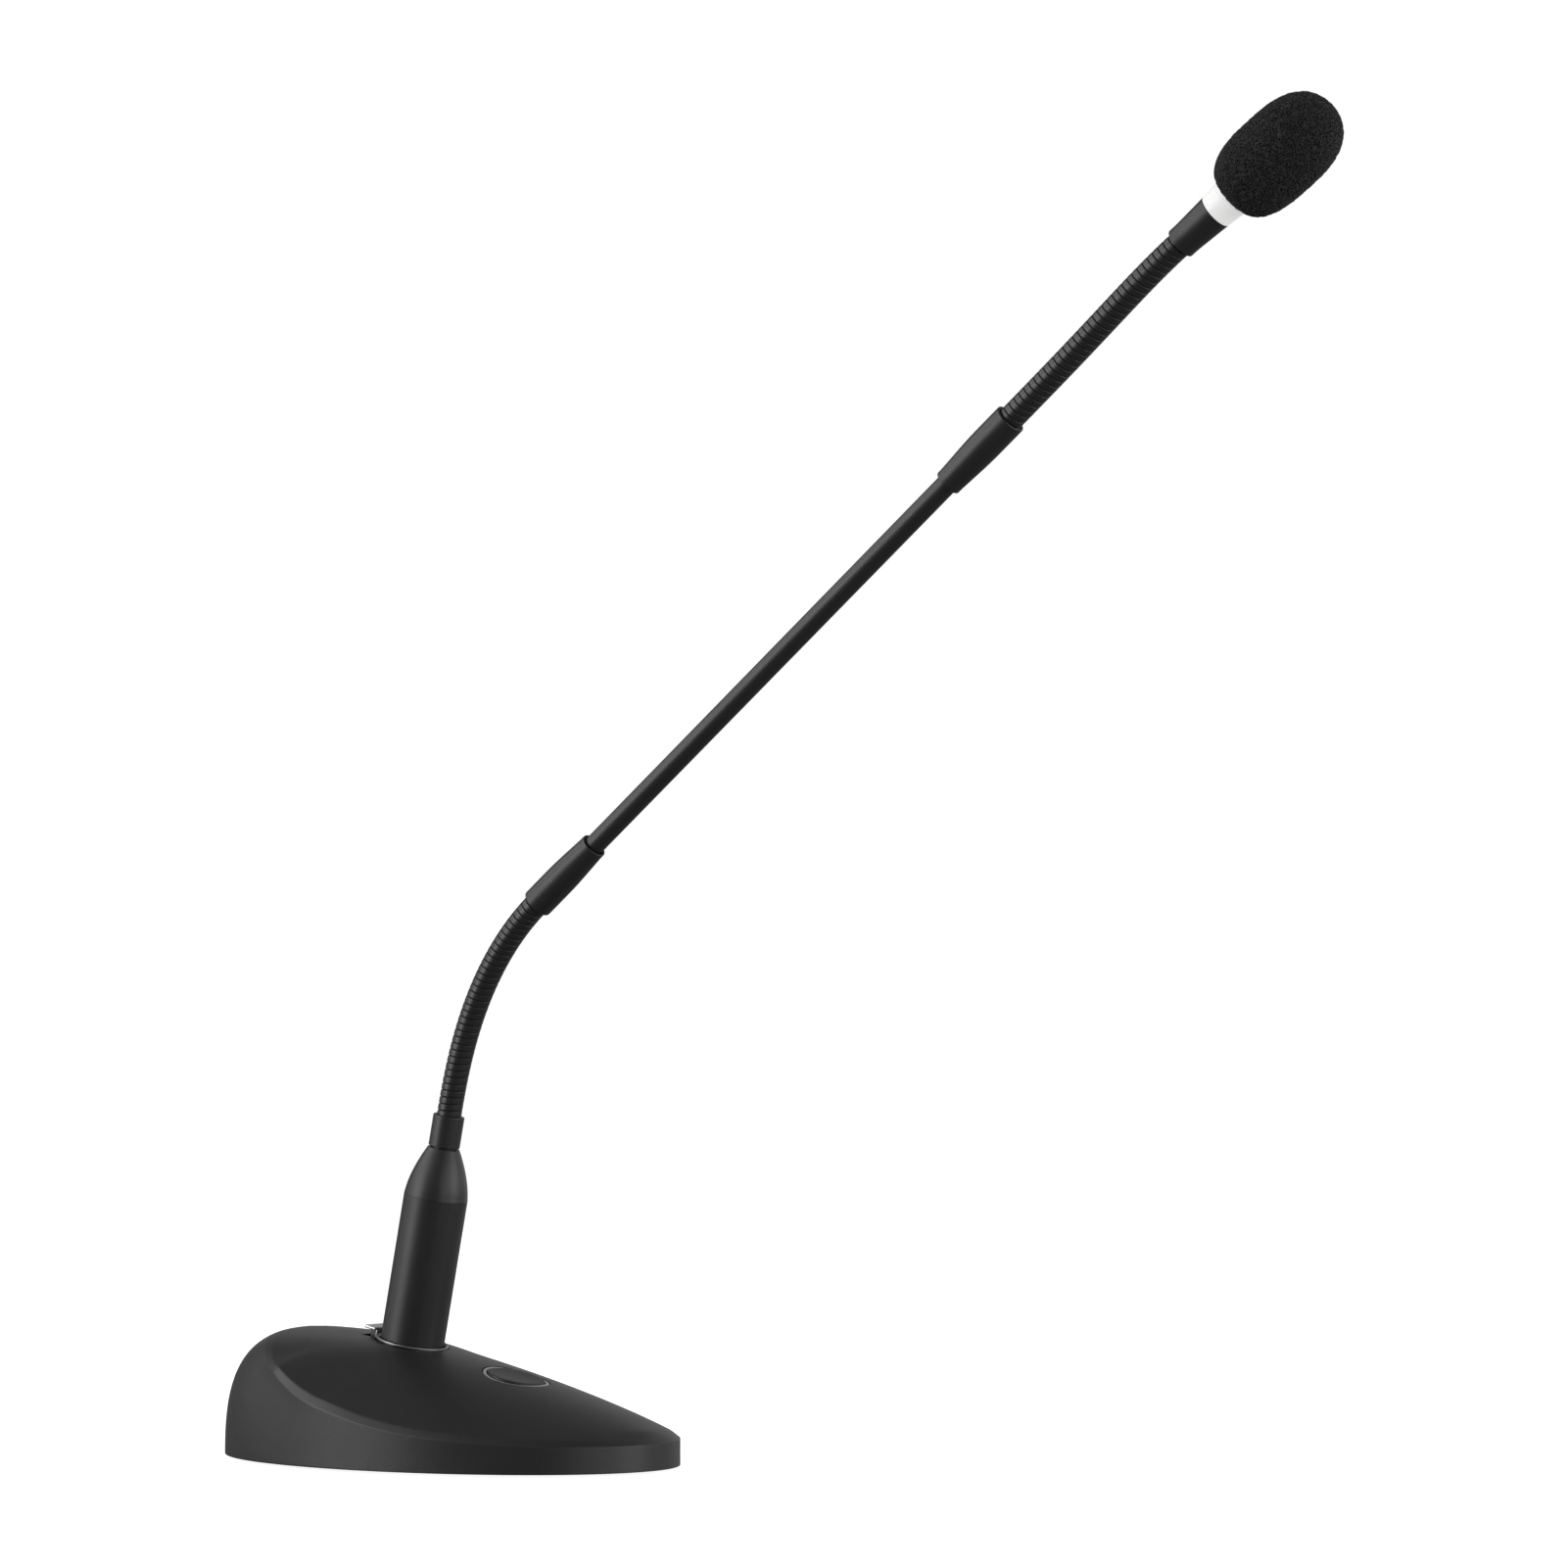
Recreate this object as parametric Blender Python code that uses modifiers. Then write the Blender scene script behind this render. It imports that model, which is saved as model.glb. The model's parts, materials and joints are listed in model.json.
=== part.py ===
"""Gooseneck podium microphone: a desk base with a mute button and a plug-in two-neck microphone.

Frame: metres, +Z up, the front of the base is -Y, and X = 0 is the plane of symmetry.
The origin is the middle of the face that the base rests on.
"""
import math

import bmesh
import bpy
from mathutils import Matrix, Vector

MM = 0.001
GAP = 0.3 * MM                        # running gap between neighbouring pieces

# Base outline and heights
BASE_HALF_LENGTH = 76.15 * MM
BASE_HALF_WIDTH = 49.1 * MM
SHELL_WALL = 2.4 * MM
SHELL_BOTTOM = 0.9 * MM
CROWN_FRONT = 10.1 * MM               # centre line height at the front edge
CROWN_RISE = 55.7 * MM
CROWN_FALL = 24.5 * MM
CROWN_POWER = 1.94
CREASE_FRONT = 8.6 * MM               # height of the wall at the front
CREASE_RISE = 10.8 * MM
CREASE_SWOOP = 11.5 * MM
CREASE_LENGTH = 110.0 * MM
CHAMFER_RISE = 1.5 * MM
CHAMFER_SWOOP = 1.2 * MM
TOP_INSET = 0.968                     # plan scale of the top's edge inside the wall
REAR_PLAN_POWER = 6.1
REAR_RISE_POWER = 2.67
REAR_BLEND = (math.radians(13.2), math.radians(56.2))
BASE_SIDES = 48

# Foot, plate and ballast
PAD_HALF = (33.0 * MM, 58.0 * MM)
PAD_THICK = 1.6 * MM
PLATE_THICK = 1.5 * MM
PLATE_GAP = 0.6 * MM
POST_AT = (33.5 * MM, 33.0 * MM)
POST_RADIUS = 3.4 * MM
SCREW_SHANK = 1.4 * MM
SCREW_HEAD = 2.6 * MM
BALLAST_HALF = (28.0 * MM, 44.0 * MM)
BALLAST_THICK = 7.0 * MM
BALLAST_Y = -4.0 * MM

# Microphone socket in the base
SOCKET_POINT = Vector((0.0, 14.3 * MM, 34.4 * MM))
STEM_LEAN = math.radians(11.5)        # forward lean of the barrel from upright
BARREL_RADIUS = 9.5 * MM
BARREL_BORE = 8.0 * MM
BARREL_LENGTH = 44.3 * MM             # above the socket
PLUG_DEPTH = 14.4 * MM                # below the socket's mouth
INSERT_RADIUS = 7.5 * MM
CONTACT_CIRCLE = 4.6 * MM
CONTACT_RADIUS = 1.8 * MM
PIN_RADIUS = 1.1 * MM
SOCKET_RIM = 10.9 * MM

# Release tab behind the socket, along the socket's own axis
TAB_SIZE = (8.6 * MM, 4.4 * MM)
TAB_REACH = SOCKET_RIM + 0.3 * MM + TAB_SIZE[1] / 2
TAB_TOP = 2.2 * MM
TAB_FOOT = -8.5 * MM
TAB_BORE = 1.6 * MM
SPRING_RADIUS = 1.0 * MM
SPRING_WIRE = 0.25 * MM
SPRING_LOW = -11.0 * MM
SPRING_TOP = -3.8 * MM

# Mute button
BUTTON_Y = -24.8 * MM
BUTTON_RADIUS = 8.6 * MM
BEZEL_RADIUS = 9.9 * MM
BUTTON_DEPTH = 3.4 * MM
BOARD_DROP = 10.5 * MM                # from the button's face down to its board
BOARD_SIZE = (42.0 * MM, 28.0 * MM)
BOARD_THICK = 1.6 * MM

# Rear output connector
OUTPUT_Z = 15.5 * MM
OUTPUT_FACE = 69.2 * MM
OUTPUT_BORE = 9.8 * MM
OUTPUT_RADIUS = 10.9 * MM
OUTPUT_FLANGE = 12.0 * MM
OUTPUT_DEPTH = 15.0 * MM
OUTPUT_PIN = 1.2 * MM
OUTPUT_PIN_CIRCLE = 5.9 * MM
BOSS_RADIUS = 13.3 * MM

# Neck
NOSE_LENGTH = 14.6 * MM
NOSE_TIP = 4.85 * MM
COLLAR_RADIUS = 4.66 * MM
COLLAR_LENGTH = 9.3 * MM
NECK_CORE = 3.45 * MM                 # radius of a gooseneck link
CABLE_BORE = 1.6 * MM
NECK_HINGES = 8
LINK_CONE = math.radians(12.0)        # relief on a link's ends, for the bend of one hinge
LOWER_NECK = 71.85 * MM
UPPER_NECK = 69.85 * MM
COUPLER_LENGTH = 26.6 * MM
COUPLER_BIG = 4.65 * MM
COUPLER_SMALL = 3.98 * MM
COUPLER_STRAIGHT = 13.0 * MM
TUBE_RADIUS = 3.02 * MM
TUBE_BORE = 2.4 * MM
TUBE_SHOWN = 157.4 * MM
TUBE_SOCKET = 12.0 * MM
MID_RISE = math.radians(38.64)        # angle of the middle tube above level
HEAD_RISE = math.radians(35.0)
UPPER_SWAY = math.radians(2.38)

# Head
FERRULE_LENGTH = 13.5 * MM
FERRULE_RADIUS = 4.55 * MM            # at the neck
FERRULE_RIM = 5.15 * MM               # at the light ring
RING_RADIUS = 5.7 * MM                # at the windscreen
RING_LENGTH = 6.3 * MM
CAPSULE_RADIUS = 4.9 * MM
CAPSULE_LENGTH = 15.0 * MM
FOAM_RADIUS = 12.15 * MM
FOAM_LENGTH = 36.5 * MM
FOAM_BORE = 5.3 * MM

FINE = 24
COARSE = 16


# ---------------------------------------------------------------- scene helpers

def clear_scene():
    for old in list(bpy.data.objects):
        bpy.data.objects.remove(old, do_unlink=True)


def make_collection(name):
    made = bpy.data.collections.new(name)
    bpy.context.scene.collection.children.link(made)
    return made


clear_scene()
PARTS = make_collection("gooseneck_microphone")
TOOLS = make_collection("cutters")


def make_material(name, color, roughness, metallic=0.0):
    made = bpy.data.materials.new(name)
    made.use_nodes = True
    shader = made.node_tree.nodes["Principled BSDF"]
    shader.inputs["Base Color"].default_value = (*color, 1.0)
    shader.inputs["Roughness"].default_value = roughness
    shader.inputs["Metallic"].default_value = metallic
    return made


SATIN_BLACK = make_material("satin_black", (0.018, 0.018, 0.019), 0.42)
BLACK_METAL = make_material("black_metal", (0.02, 0.02, 0.021), 0.34, 0.6)
BLACK_PLASTIC = make_material("black_plastic", (0.03, 0.03, 0.03), 0.5)
CHROME = make_material("chrome", (0.8, 0.8, 0.8), 0.12, 1.0)
STEEL = make_material("steel", (0.5, 0.5, 0.5), 0.35, 1.0)
GOLD = make_material("gold", (0.85, 0.62, 0.25), 0.25, 1.0)
RUBBER = make_material("rubber", (0.03, 0.03, 0.03), 0.85)
BOARD_GREEN = make_material("board_green", (0.02, 0.16, 0.07), 0.5)
MILKY_WHITE = make_material("milky_white", (0.88, 0.88, 0.87), 0.35)
FOAM_BLACK = make_material("foam_black", (0.015, 0.015, 0.015), 1.0)
BALLAST_GREY = make_material("ballast_grey", (0.12, 0.12, 0.12), 0.6, 0.8)


def add_object(name, mesh, matrix, material, collection=None):
    made = bpy.data.objects.new(name, mesh)
    made.matrix_world = matrix
    (collection or PARTS).objects.link(made)
    if material and not mesh.materials:
        mesh.materials.append(material)
    return made


def smooth(obj, angle=35.0):
    obj.data.shade_smooth()
    obj.data.set_sharp_from_angle(angle=math.radians(angle))


def evaluated_copy(obj):
    """The object with its modifiers worked into its own mesh."""
    bpy.context.view_layer.update()
    depsgraph = bpy.context.evaluated_depsgraph_get()
    mesh = bpy.data.meshes.new_from_object(obj.evaluated_get(depsgraph))
    obj.modifiers.clear()
    obj.data = mesh
    return obj


def turned(name, profile, matrix, material, steps=FINE, closed=True, collection=None):
    """A solid of revolution about local Z. The profile runs down its outer side from the top."""
    mesh = bpy.data.meshes.new(name)
    edges = [(i, i + 1) for i in range(len(profile) - 1)]
    if closed:
        edges.append((len(profile) - 1, 0))
    mesh.from_pydata([(r, 0.0, z) for r, z in profile], edges, [])
    made = add_object(name, mesh, matrix, material, collection)
    screw = made.modifiers.new("turn", "SCREW")
    screw.axis = "Z"
    screw.steps = steps
    screw.render_steps = steps
    screw.use_merge_vertices = True
    screw.merge_threshold = 0.01 * MM
    screw.use_smooth_shade = False
    evaluated_copy(made)
    smooth(made)
    return made


def cylinder(name, radius, low, high, matrix, material, sides=COARSE, collection=None):
    """A solid cylinder about local Z, from low to high."""
    mesh = bpy.data.meshes.new(name)
    work = bmesh.new()
    bmesh.ops.create_cone(work, cap_ends=True, segments=sides, radius1=radius, radius2=radius,
                          depth=high - low, matrix=Matrix.Translation((0.0, 0.0, (high + low) / 2)))
    work.to_mesh(mesh)
    work.free()
    made = add_object(name, mesh, matrix, material, collection)
    smooth(made)
    return made


def box(name, size, centre, matrix, material, collection=None):
    mesh = bpy.data.meshes.new(name)
    work = bmesh.new()
    bmesh.ops.create_cube(work, size=1.0)
    bmesh.ops.scale(work, vec=size, verts=work.verts)
    bmesh.ops.translate(work, vec=centre, verts=work.verts)
    work.to_mesh(mesh)
    work.free()
    return add_object(name, mesh, matrix, material, collection)


def ellipse_plate(name, half, low, high, matrix, material, sides=BASE_SIDES):
    """A flat oval plate from low to high."""
    made = cylinder(name, 1.0, low, high, matrix, material, sides)
    for vertex in made.data.vertices:
        vertex.co.x *= half[0]
        vertex.co.y *= half[1]
    return made


def combine(target, other, operation):
    """Joins or cuts with a Boolean and works it in; the other object is a tool."""
    other.hide_render = True
    other.display_type = "WIRE"
    change = target.modifiers.new(operation.lower(), "BOOLEAN")
    change.operation = operation
    change.solver = "EXACT"
    change.object = other
    evaluated_copy(target)
    return target


def cut(target, other):
    return combine(target, other, "DIFFERENCE")


def join(target, other):
    return combine(target, other, "UNION")


# ---------------------------------------------------------------- places

def lean_frame(point, rise):
    """Local +Z points forward and up at the given angle above level, in the plane X = 0."""
    return Matrix.Translation(point) @ Matrix.Rotation(math.pi / 2 - rise, 4, "X")


def step_forward(point, rise, distance):
    return point + Vector((0.0, -math.cos(rise), math.sin(rise))) * distance


def crown_height(y):
    along = (y + BASE_HALF_LENGTH) / (2 * BASE_HALF_LENGTH)
    return CROWN_FRONT + CROWN_RISE * along - CROWN_FALL * along ** 2


def crown_slope(y):
    along = (y + BASE_HALF_LENGTH) / (2 * BASE_HALF_LENGTH)
    return math.atan((CROWN_RISE - 2 * CROWN_FALL * along) / (2 * BASE_HALF_LENGTH))


def crease_share(y):
    return min(max((y + BASE_HALF_LENGTH) / CREASE_LENGTH, 0.0), 1.0)


def crease_height(y):
    share = crease_share(y)
    return CREASE_FRONT + CREASE_RISE * share ** 2 + CREASE_SWOOP * share ** 5


def edge_height(y):
    return crease_height(y) + CHAMFER_RISE + CHAMFER_SWOOP * crease_share(y)


STEM = lean_frame(SOCKET_POINT, math.pi / 2 - STEM_LEAN)


# ---------------------------------------------------------------- base shell

WALL_RINGS = [(0.0, 0.0), (0.3, 11.0), (0.65, 23.0), (1.0, 36.0)]
TOP_RINGS = [(0.9, 50.0), (0.78, 59.0), (0.64, 68.0), (0.48, 76.0), (0.32, 82.0), (0.16, 87.0)]


def front_point(kind, share, turn):
    """A point of the crowned form: a wall, a chamfer, and a top that falls to the sides."""
    scale = 1.0
    if kind == "chamfer":
        scale = TOP_INSET
    if kind == "top":
        scale = TOP_INSET * share
    x = scale * BASE_HALF_WIDTH * math.cos(turn)
    y = scale * BASE_HALF_LENGTH * math.sin(turn)
    if kind == "wall":
        return Vector((x, y, SHELL_BOTTOM + (crease_height(y) - SHELL_BOTTOM) * share))
    if kind == "chamfer":
        return Vector((x, y, edge_height(y / TOP_INSET)))
    return Vector((x, y, top_height(x, y)))


def rear_point(angle, turn):
    """A point of the rounded hump at the rear."""
    scale = math.cos(angle) ** (2.0 / REAR_PLAN_POWER)
    x = scale * BASE_HALF_WIDTH * math.cos(turn)
    y = scale * BASE_HALF_LENGTH * math.sin(turn)
    rise = math.sin(angle) ** (2.0 / REAR_RISE_POWER)
    return Vector((x, y, SHELL_BOTTOM + (crown_height(y) - SHELL_BOTTOM) * rise))


def rear_share(turn):
    low, high = REAR_BLEND
    share = (math.asin(math.sin(turn)) - low) / (high - low)
    share = min(max(share, 0.0), 1.0)
    return share * share * (3.0 - 2.0 * share)


def base_rings():
    rows = [("wall", share, angle) for share, angle in WALL_RINGS]
    rows.append(("chamfer", 1.0, 40.0))
    rows += [("top", share, angle) for share, angle in TOP_RINGS]
    rings = []
    for kind, share, angle in rows:
        ring = []
        for i in range(BASE_SIDES):
            turn = 2 * math.pi * i / BASE_SIDES
            front = front_point(kind, share, turn)
            rear = rear_point(math.radians(angle), turn)
            ring.append(front.lerp(rear, rear_share(turn)))
        rings.append(ring)
    return rings


def base_surface(name):
    """The outer skin of the base as a loft of rings, open at the bottom."""
    work = bmesh.new()
    rows = [[work.verts.new(point) for point in ring] for ring in base_rings()]
    for low, high in zip(rows, rows[1:]):
        for i in range(BASE_SIDES):
            j = (i + 1) % BASE_SIDES
            work.faces.new((low[i], low[j], high[j], high[i]))
    peak = work.verts.new((0.0, 0.0, crown_height(0.0)))
    for i in range(BASE_SIDES):
        work.faces.new((rows[-1][i], rows[-1][(i + 1) % BASE_SIDES], peak))
    mesh = bpy.data.meshes.new(name)
    work.to_mesh(mesh)
    work.free()
    return mesh


def top_height(x, y):
    """Height of the crowned top over a point of the plan."""
    half = 1.0 - (y / (BASE_HALF_LENGTH * TOP_INSET)) ** 2
    side = BASE_HALF_WIDTH * TOP_INSET * math.sqrt(max(half, 1e-6))
    drop = min(abs(x) / side, 1.0) ** CROWN_POWER
    peak = crown_height(y)
    return peak - (peak - edge_height(y / TOP_INSET)) * drop


def base_post(x, y):
    """A screw post that ends inside the shell's wall at its lowest side."""
    out_x = x + math.copysign(POST_RADIUS, x)
    out_y = y + math.copysign(POST_RADIUS, y)
    top = min(top_height(out_x, y), top_height(x, out_y), top_height(out_x, out_y)) - SHELL_WALL / 2
    return cylinder("post", POST_RADIUS, PAD_THICK + 2 * GAP + PLATE_THICK, top,
                    Matrix.Translation((x, y, 0.0)), None, COARSE, TOOLS)


def post_places():
    return [(sx * POST_AT[0], sy * POST_AT[1]) for sy in (-1, 1) for sx in (-1, 1)]


def build_shell():
    shell = add_object("base_shell", base_surface("base_shell"), Matrix.Identity(4), SATIN_BLACK)
    wall = shell.modifiers.new("wall", "SOLIDIFY")
    wall.thickness = SHELL_WALL
    wall.offset = -1.0
    wall.use_even_offset = True
    evaluated_copy(shell)
    for x, y in post_places():
        join(shell, base_post(x, y))
    rear = Matrix.Translation((0.0, 0.0, OUTPUT_Z)) @ Matrix.Rotation(-math.pi / 2, 4, "X")
    rear = rear @ Matrix.Rotation(math.pi / FINE, 4, "Z")
    boss = cylinder("rear_boss", BOSS_RADIUS, OUTPUT_FACE - 4.2 * MM, OUTPUT_FACE + 0.3 * MM,
                    rear, None, FINE, TOOLS)
    trim = box("boss_trim", (40 * MM, 20 * MM, 10 * MM), (0.0, OUTPUT_FACE - 2 * MM, -1.0 * MM),
               Matrix.Identity(4), None, TOOLS)
    cut(boss, trim)
    join(shell, boss)
    well = cylinder("socket_well", SOCKET_RIM + GAP, -24 * MM, 12 * MM, STEM, None, FINE, TOOLS)
    cut(shell, well)
    place = button_frame()
    cut(shell, cylinder("button_well", BEZEL_RADIUS + GAP, -9 * MM, 9 * MM, place, None, FINE, TOOLS))
    slot_size = (TAB_SIZE[0] + 2 * GAP, TAB_SIZE[1] + 2 * GAP, 24 * MM)
    cut(shell, box("tab_slot", slot_size, (0.0, TAB_REACH, 0.0), STEM, None, TOOLS))
    cut(shell, cylinder("output_hole", OUTPUT_RADIUS + GAP, 55 * MM, 90 * MM, rear, None, FINE, TOOLS))
    cut(shell, cylinder("output_seat", OUTPUT_FLANGE + GAP, OUTPUT_FACE, 90 * MM,
                        rear, None, FINE, TOOLS))
    for x, y in post_places():
        cut(shell, cylinder("post_hole", SCREW_SHANK + GAP, 0.0, 10 * MM,
                            Matrix.Translation((x, y, 0.0)), None, COARSE, TOOLS))
    smooth(shell, 28.0)
    return shell


# ---------------------------------------------------------------- base contents

def build_foot():
    level = Matrix.Identity(4)
    ellipse_plate("foot_pad", PAD_HALF, 0.0, PAD_THICK, level, RUBBER)
    low = PAD_THICK + GAP
    inset = SHELL_WALL + PLATE_GAP
    half = (BASE_HALF_WIDTH - inset, BASE_HALF_LENGTH - inset)
    plate = ellipse_plate("bottom_plate", half, low, low + PLATE_THICK, level, STEEL)
    for number, (x, y) in enumerate(post_places(), 1):
        place = Matrix.Translation((x, y, 0.0))
        hole = cylinder("plate_hole", SCREW_SHANK + GAP, -1 * MM, 8 * MM, place, None, COARSE, TOOLS)
        cut(plate, hole)
        head_top = low - GAP
        profile = [(0.0, 9.0 * MM), (SCREW_SHANK, 9.0 * MM), (SCREW_SHANK, head_top),
                   (SCREW_HEAD, head_top), (SCREW_HEAD, head_top - 0.7 * MM),
                   (SCREW_HEAD * 0.8, head_top - 1.1 * MM), (0.0, head_top - 1.1 * MM)]
        turned("plate_screw_%d" % number, profile, place, STEEL, 12, closed=False)
    ballast_low = low + PLATE_THICK + GAP
    place = Matrix.Translation((0.0, BALLAST_Y, 0.0))
    ellipse_plate("ballast_weight", BALLAST_HALF, ballast_low, ballast_low + BALLAST_THICK,
                  place, BALLAST_GREY, 40)


def pin_places(circle):
    """Three pins a quarter turn apart, the odd one at the front of the socket."""
    angles = [math.pi, 0.0, -math.pi / 2]
    return [(circle * math.cos(a), circle * math.sin(a)) for a in angles]


def build_socket():
    """The chassis socket that the stem plugs into."""
    inner = BARREL_RADIUS + GAP
    floor = -PLUG_DEPTH - GAP
    profile = [(inner, 0.2 * MM), (inner + 0.4 * MM, 0.6 * MM), (SOCKET_RIM - 0.2 * MM, 0.6 * MM),
               (SOCKET_RIM, 0.4 * MM), (SOCKET_RIM, floor - 2.0 * MM),
               (3.0 * MM, floor - 2.0 * MM), (3.0 * MM, floor), (inner, floor)]
    socket = turned("socket_shell", profile, STEM, BLACK_METAL)
    ledge = box("spring_ledge", (7 * MM, 7 * MM, 1.4 * MM),
                (0.0, SOCKET_RIM + 3.1 * MM, SPRING_LOW - GAP - 0.7 * MM), STEM, None, TOOLS)
    join(socket, ledge)
    insert = cylinder("socket_insert", INSERT_RADIUS, floor + GAP, -1.0 * MM, STEM, BLACK_PLASTIC, FINE)
    for number, (x, y) in enumerate(pin_places(CONTACT_CIRCLE), 1):
        place = STEM @ Matrix.Translation((x, y, 0.0))
        cut(insert, cylinder("contact_hole", CONTACT_RADIUS + GAP, -30 * MM, 5 * MM, place,
                             None, COARSE, TOOLS))
        bore = PIN_RADIUS + GAP
        low = -PLUG_DEPTH + 1.0 * MM
        sleeve = [(CONTACT_RADIUS, -2.0 * MM), (CONTACT_RADIUS, low), (bore, low), (bore, -2.0 * MM)]
        turned("socket_contact_%d" % number, sleeve, place, GOLD, 12)


def build_tab():
    """The release tab, pressed down beside the socket, over a coil spring in its bore."""
    place = STEM @ Matrix.Translation((0.0, TAB_REACH, 0.0))
    centre = (0.0, 0.0, (TAB_TOP + TAB_FOOT) / 2)
    tab = box("latch_tab", (*TAB_SIZE, TAB_TOP - TAB_FOOT), centre, place, CHROME)
    round_edges(tab, 1.0 * MM, 3)
    cut(tab, cylinder("tab_bore", TAB_BORE, TAB_FOOT - 1 * MM, -2.0 * MM, place, None, COARSE, TOOLS))
    build_spring(place)


def build_spring(place):
    """A compression spring with four open turns, drawn at its pressed length."""
    turns, per_turn = 4, 8
    curve = bpy.data.curves.new("latch_spring", "CURVE")
    curve.dimensions = "3D"
    curve.bevel_depth = SPRING_WIRE
    curve.bevel_resolution = 1
    curve.use_fill_caps = True
    line = curve.splines.new("POLY")
    count = turns * per_turn + 1
    line.points.add(count - 1)
    for i in range(count):
        angle = 2 * math.pi * i / per_turn
        height = SPRING_LOW + SPRING_WIRE
        height += (SPRING_TOP - SPRING_LOW - 2 * SPRING_WIRE) * i / (count - 1)
        line.points[i].co = (SPRING_RADIUS * math.cos(angle), SPRING_RADIUS * math.sin(angle), height, 1.0)
    spring = bpy.data.objects.new("latch_spring", curve)
    spring.matrix_world = place
    curve.materials.append(STEEL)
    PARTS.objects.link(spring)


def round_edges(obj, width, segments):
    bevel = obj.modifiers.new("round", "BEVEL")
    bevel.width = width
    bevel.segments = segments
    bevel.limit_method = "ANGLE"
    evaluated_copy(obj)
    smooth(obj)


def button_frame():
    """Local +Z is the outward normal of the base's top under the button."""
    point = Vector((0.0, BUTTON_Y, crown_height(BUTTON_Y)))
    return Matrix.Translation(point) @ Matrix.Rotation(crown_slope(BUTTON_Y), 4, "X")


def build_button():
    place = button_frame()
    ring = BUTTON_RADIUS + GAP
    profile = [(ring, 0.2 * MM), (ring + 0.3 * MM, 0.45 * MM), (BEZEL_RADIUS - 0.2 * MM, 0.35 * MM),
               (BEZEL_RADIUS, 0.1 * MM), (BEZEL_RADIUS, -4.5 * MM), (ring, -4.5 * MM)]
    turned("button_bezel", profile, place, BLACK_METAL)
    stem_low = -BOARD_DROP + BOARD_THICK / 2 + 2.0 * MM + 1.5 * MM
    profile = [(0.0, 0.35 * MM), (BUTTON_RADIUS * 0.6, 0.28 * MM), (BUTTON_RADIUS - 0.3 * MM, 0.1 * MM),
               (BUTTON_RADIUS, -0.2 * MM), (BUTTON_RADIUS, -BUTTON_DEPTH), (2.2 * MM, -BUTTON_DEPTH),
               (2.2 * MM, stem_low), (0.0, stem_low)]
    turned("mute_button", profile, place, BLACK_PLASTIC, closed=False)
    board = box("main_board", (*BOARD_SIZE, BOARD_THICK), (0.0, 0.0, -BOARD_DROP), place, BOARD_GREEN)
    corner = 7.0 * MM
    for sx in (-1, 1):
        notch = cylinder("board_notch", corner, -BOARD_DROP - 4 * MM, -BOARD_DROP + 4 * MM,
                         place @ Matrix.Translation((sx * BOARD_SIZE[0] / 2, -BOARD_SIZE[1] / 2, 0.0)),
                         None, COARSE, TOOLS)
        cut(board, notch)
    low = -BOARD_DROP + BOARD_THICK / 2 + GAP
    box("button_switch", (6.2 * MM, 6.2 * MM, 1.7 * MM), (0.0, 0.0, low + 0.85 * MM),
        place, BLACK_PLASTIC)


def build_output():
    """The rear connector: a flanged cup with three pins, held by a ring nut inside."""
    face = Matrix.Translation((0.0, OUTPUT_FACE, OUTPUT_Z)) @ Matrix.Rotation(-math.pi / 2, 4, "X")
    flange = 1.1 * MM
    back = -OUTPUT_DEPTH + flange
    profile = [(OUTPUT_BORE, flange + GAP), (OUTPUT_FLANGE - 0.3 * MM, flange + GAP),
               (OUTPUT_FLANGE, flange), (OUTPUT_FLANGE, GAP), (OUTPUT_RADIUS, GAP),
               (OUTPUT_RADIUS, back), (OUTPUT_BORE, back)]
    turned("output_shell", profile, face, BLACK_METAL)
    nut_high = -4.2 * MM - GAP
    profile = [(OUTPUT_RADIUS + 0.3 * MM, nut_high), (OUTPUT_FLANGE, nut_high),
               (OUTPUT_FLANGE, nut_high - 2.4 * MM), (OUTPUT_RADIUS + 0.3 * MM, nut_high - 2.4 * MM)]
    turned("output_nut", profile, face, STEEL, 24)
    insert = cylinder("output_insert", OUTPUT_BORE - GAP, back + 0.2 * MM, back + 3.0 * MM,
                      face, BLACK_PLASTIC, FINE)
    for number, (x, y) in enumerate(pin_places(OUTPUT_PIN_CIRCLE), 1):
        place = face @ Matrix.Translation((x, -y, 0.0))
        cut(insert, cylinder("output_hole_%d" % number, OUTPUT_PIN + GAP, -30 * MM, 5 * MM,
                             place, None, 12, TOOLS))
        tip = -1.2 * MM
        profile = [(0.0, tip), (0.6 * MM, tip - 0.1 * MM), (OUTPUT_PIN, tip - 1.1 * MM),
                   (OUTPUT_PIN, back - 1.5 * MM), (0.0, back - 1.5 * MM)]
        turned("output_pin_%d" % number, profile, place, GOLD, 12, closed=False)


# ---------------------------------------------------------------- stem

def nose_radius(share):
    return BARREL_RADIUS - 0.1 * MM - (BARREL_RADIUS - NOSE_TIP) * share ** 1.6


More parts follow.
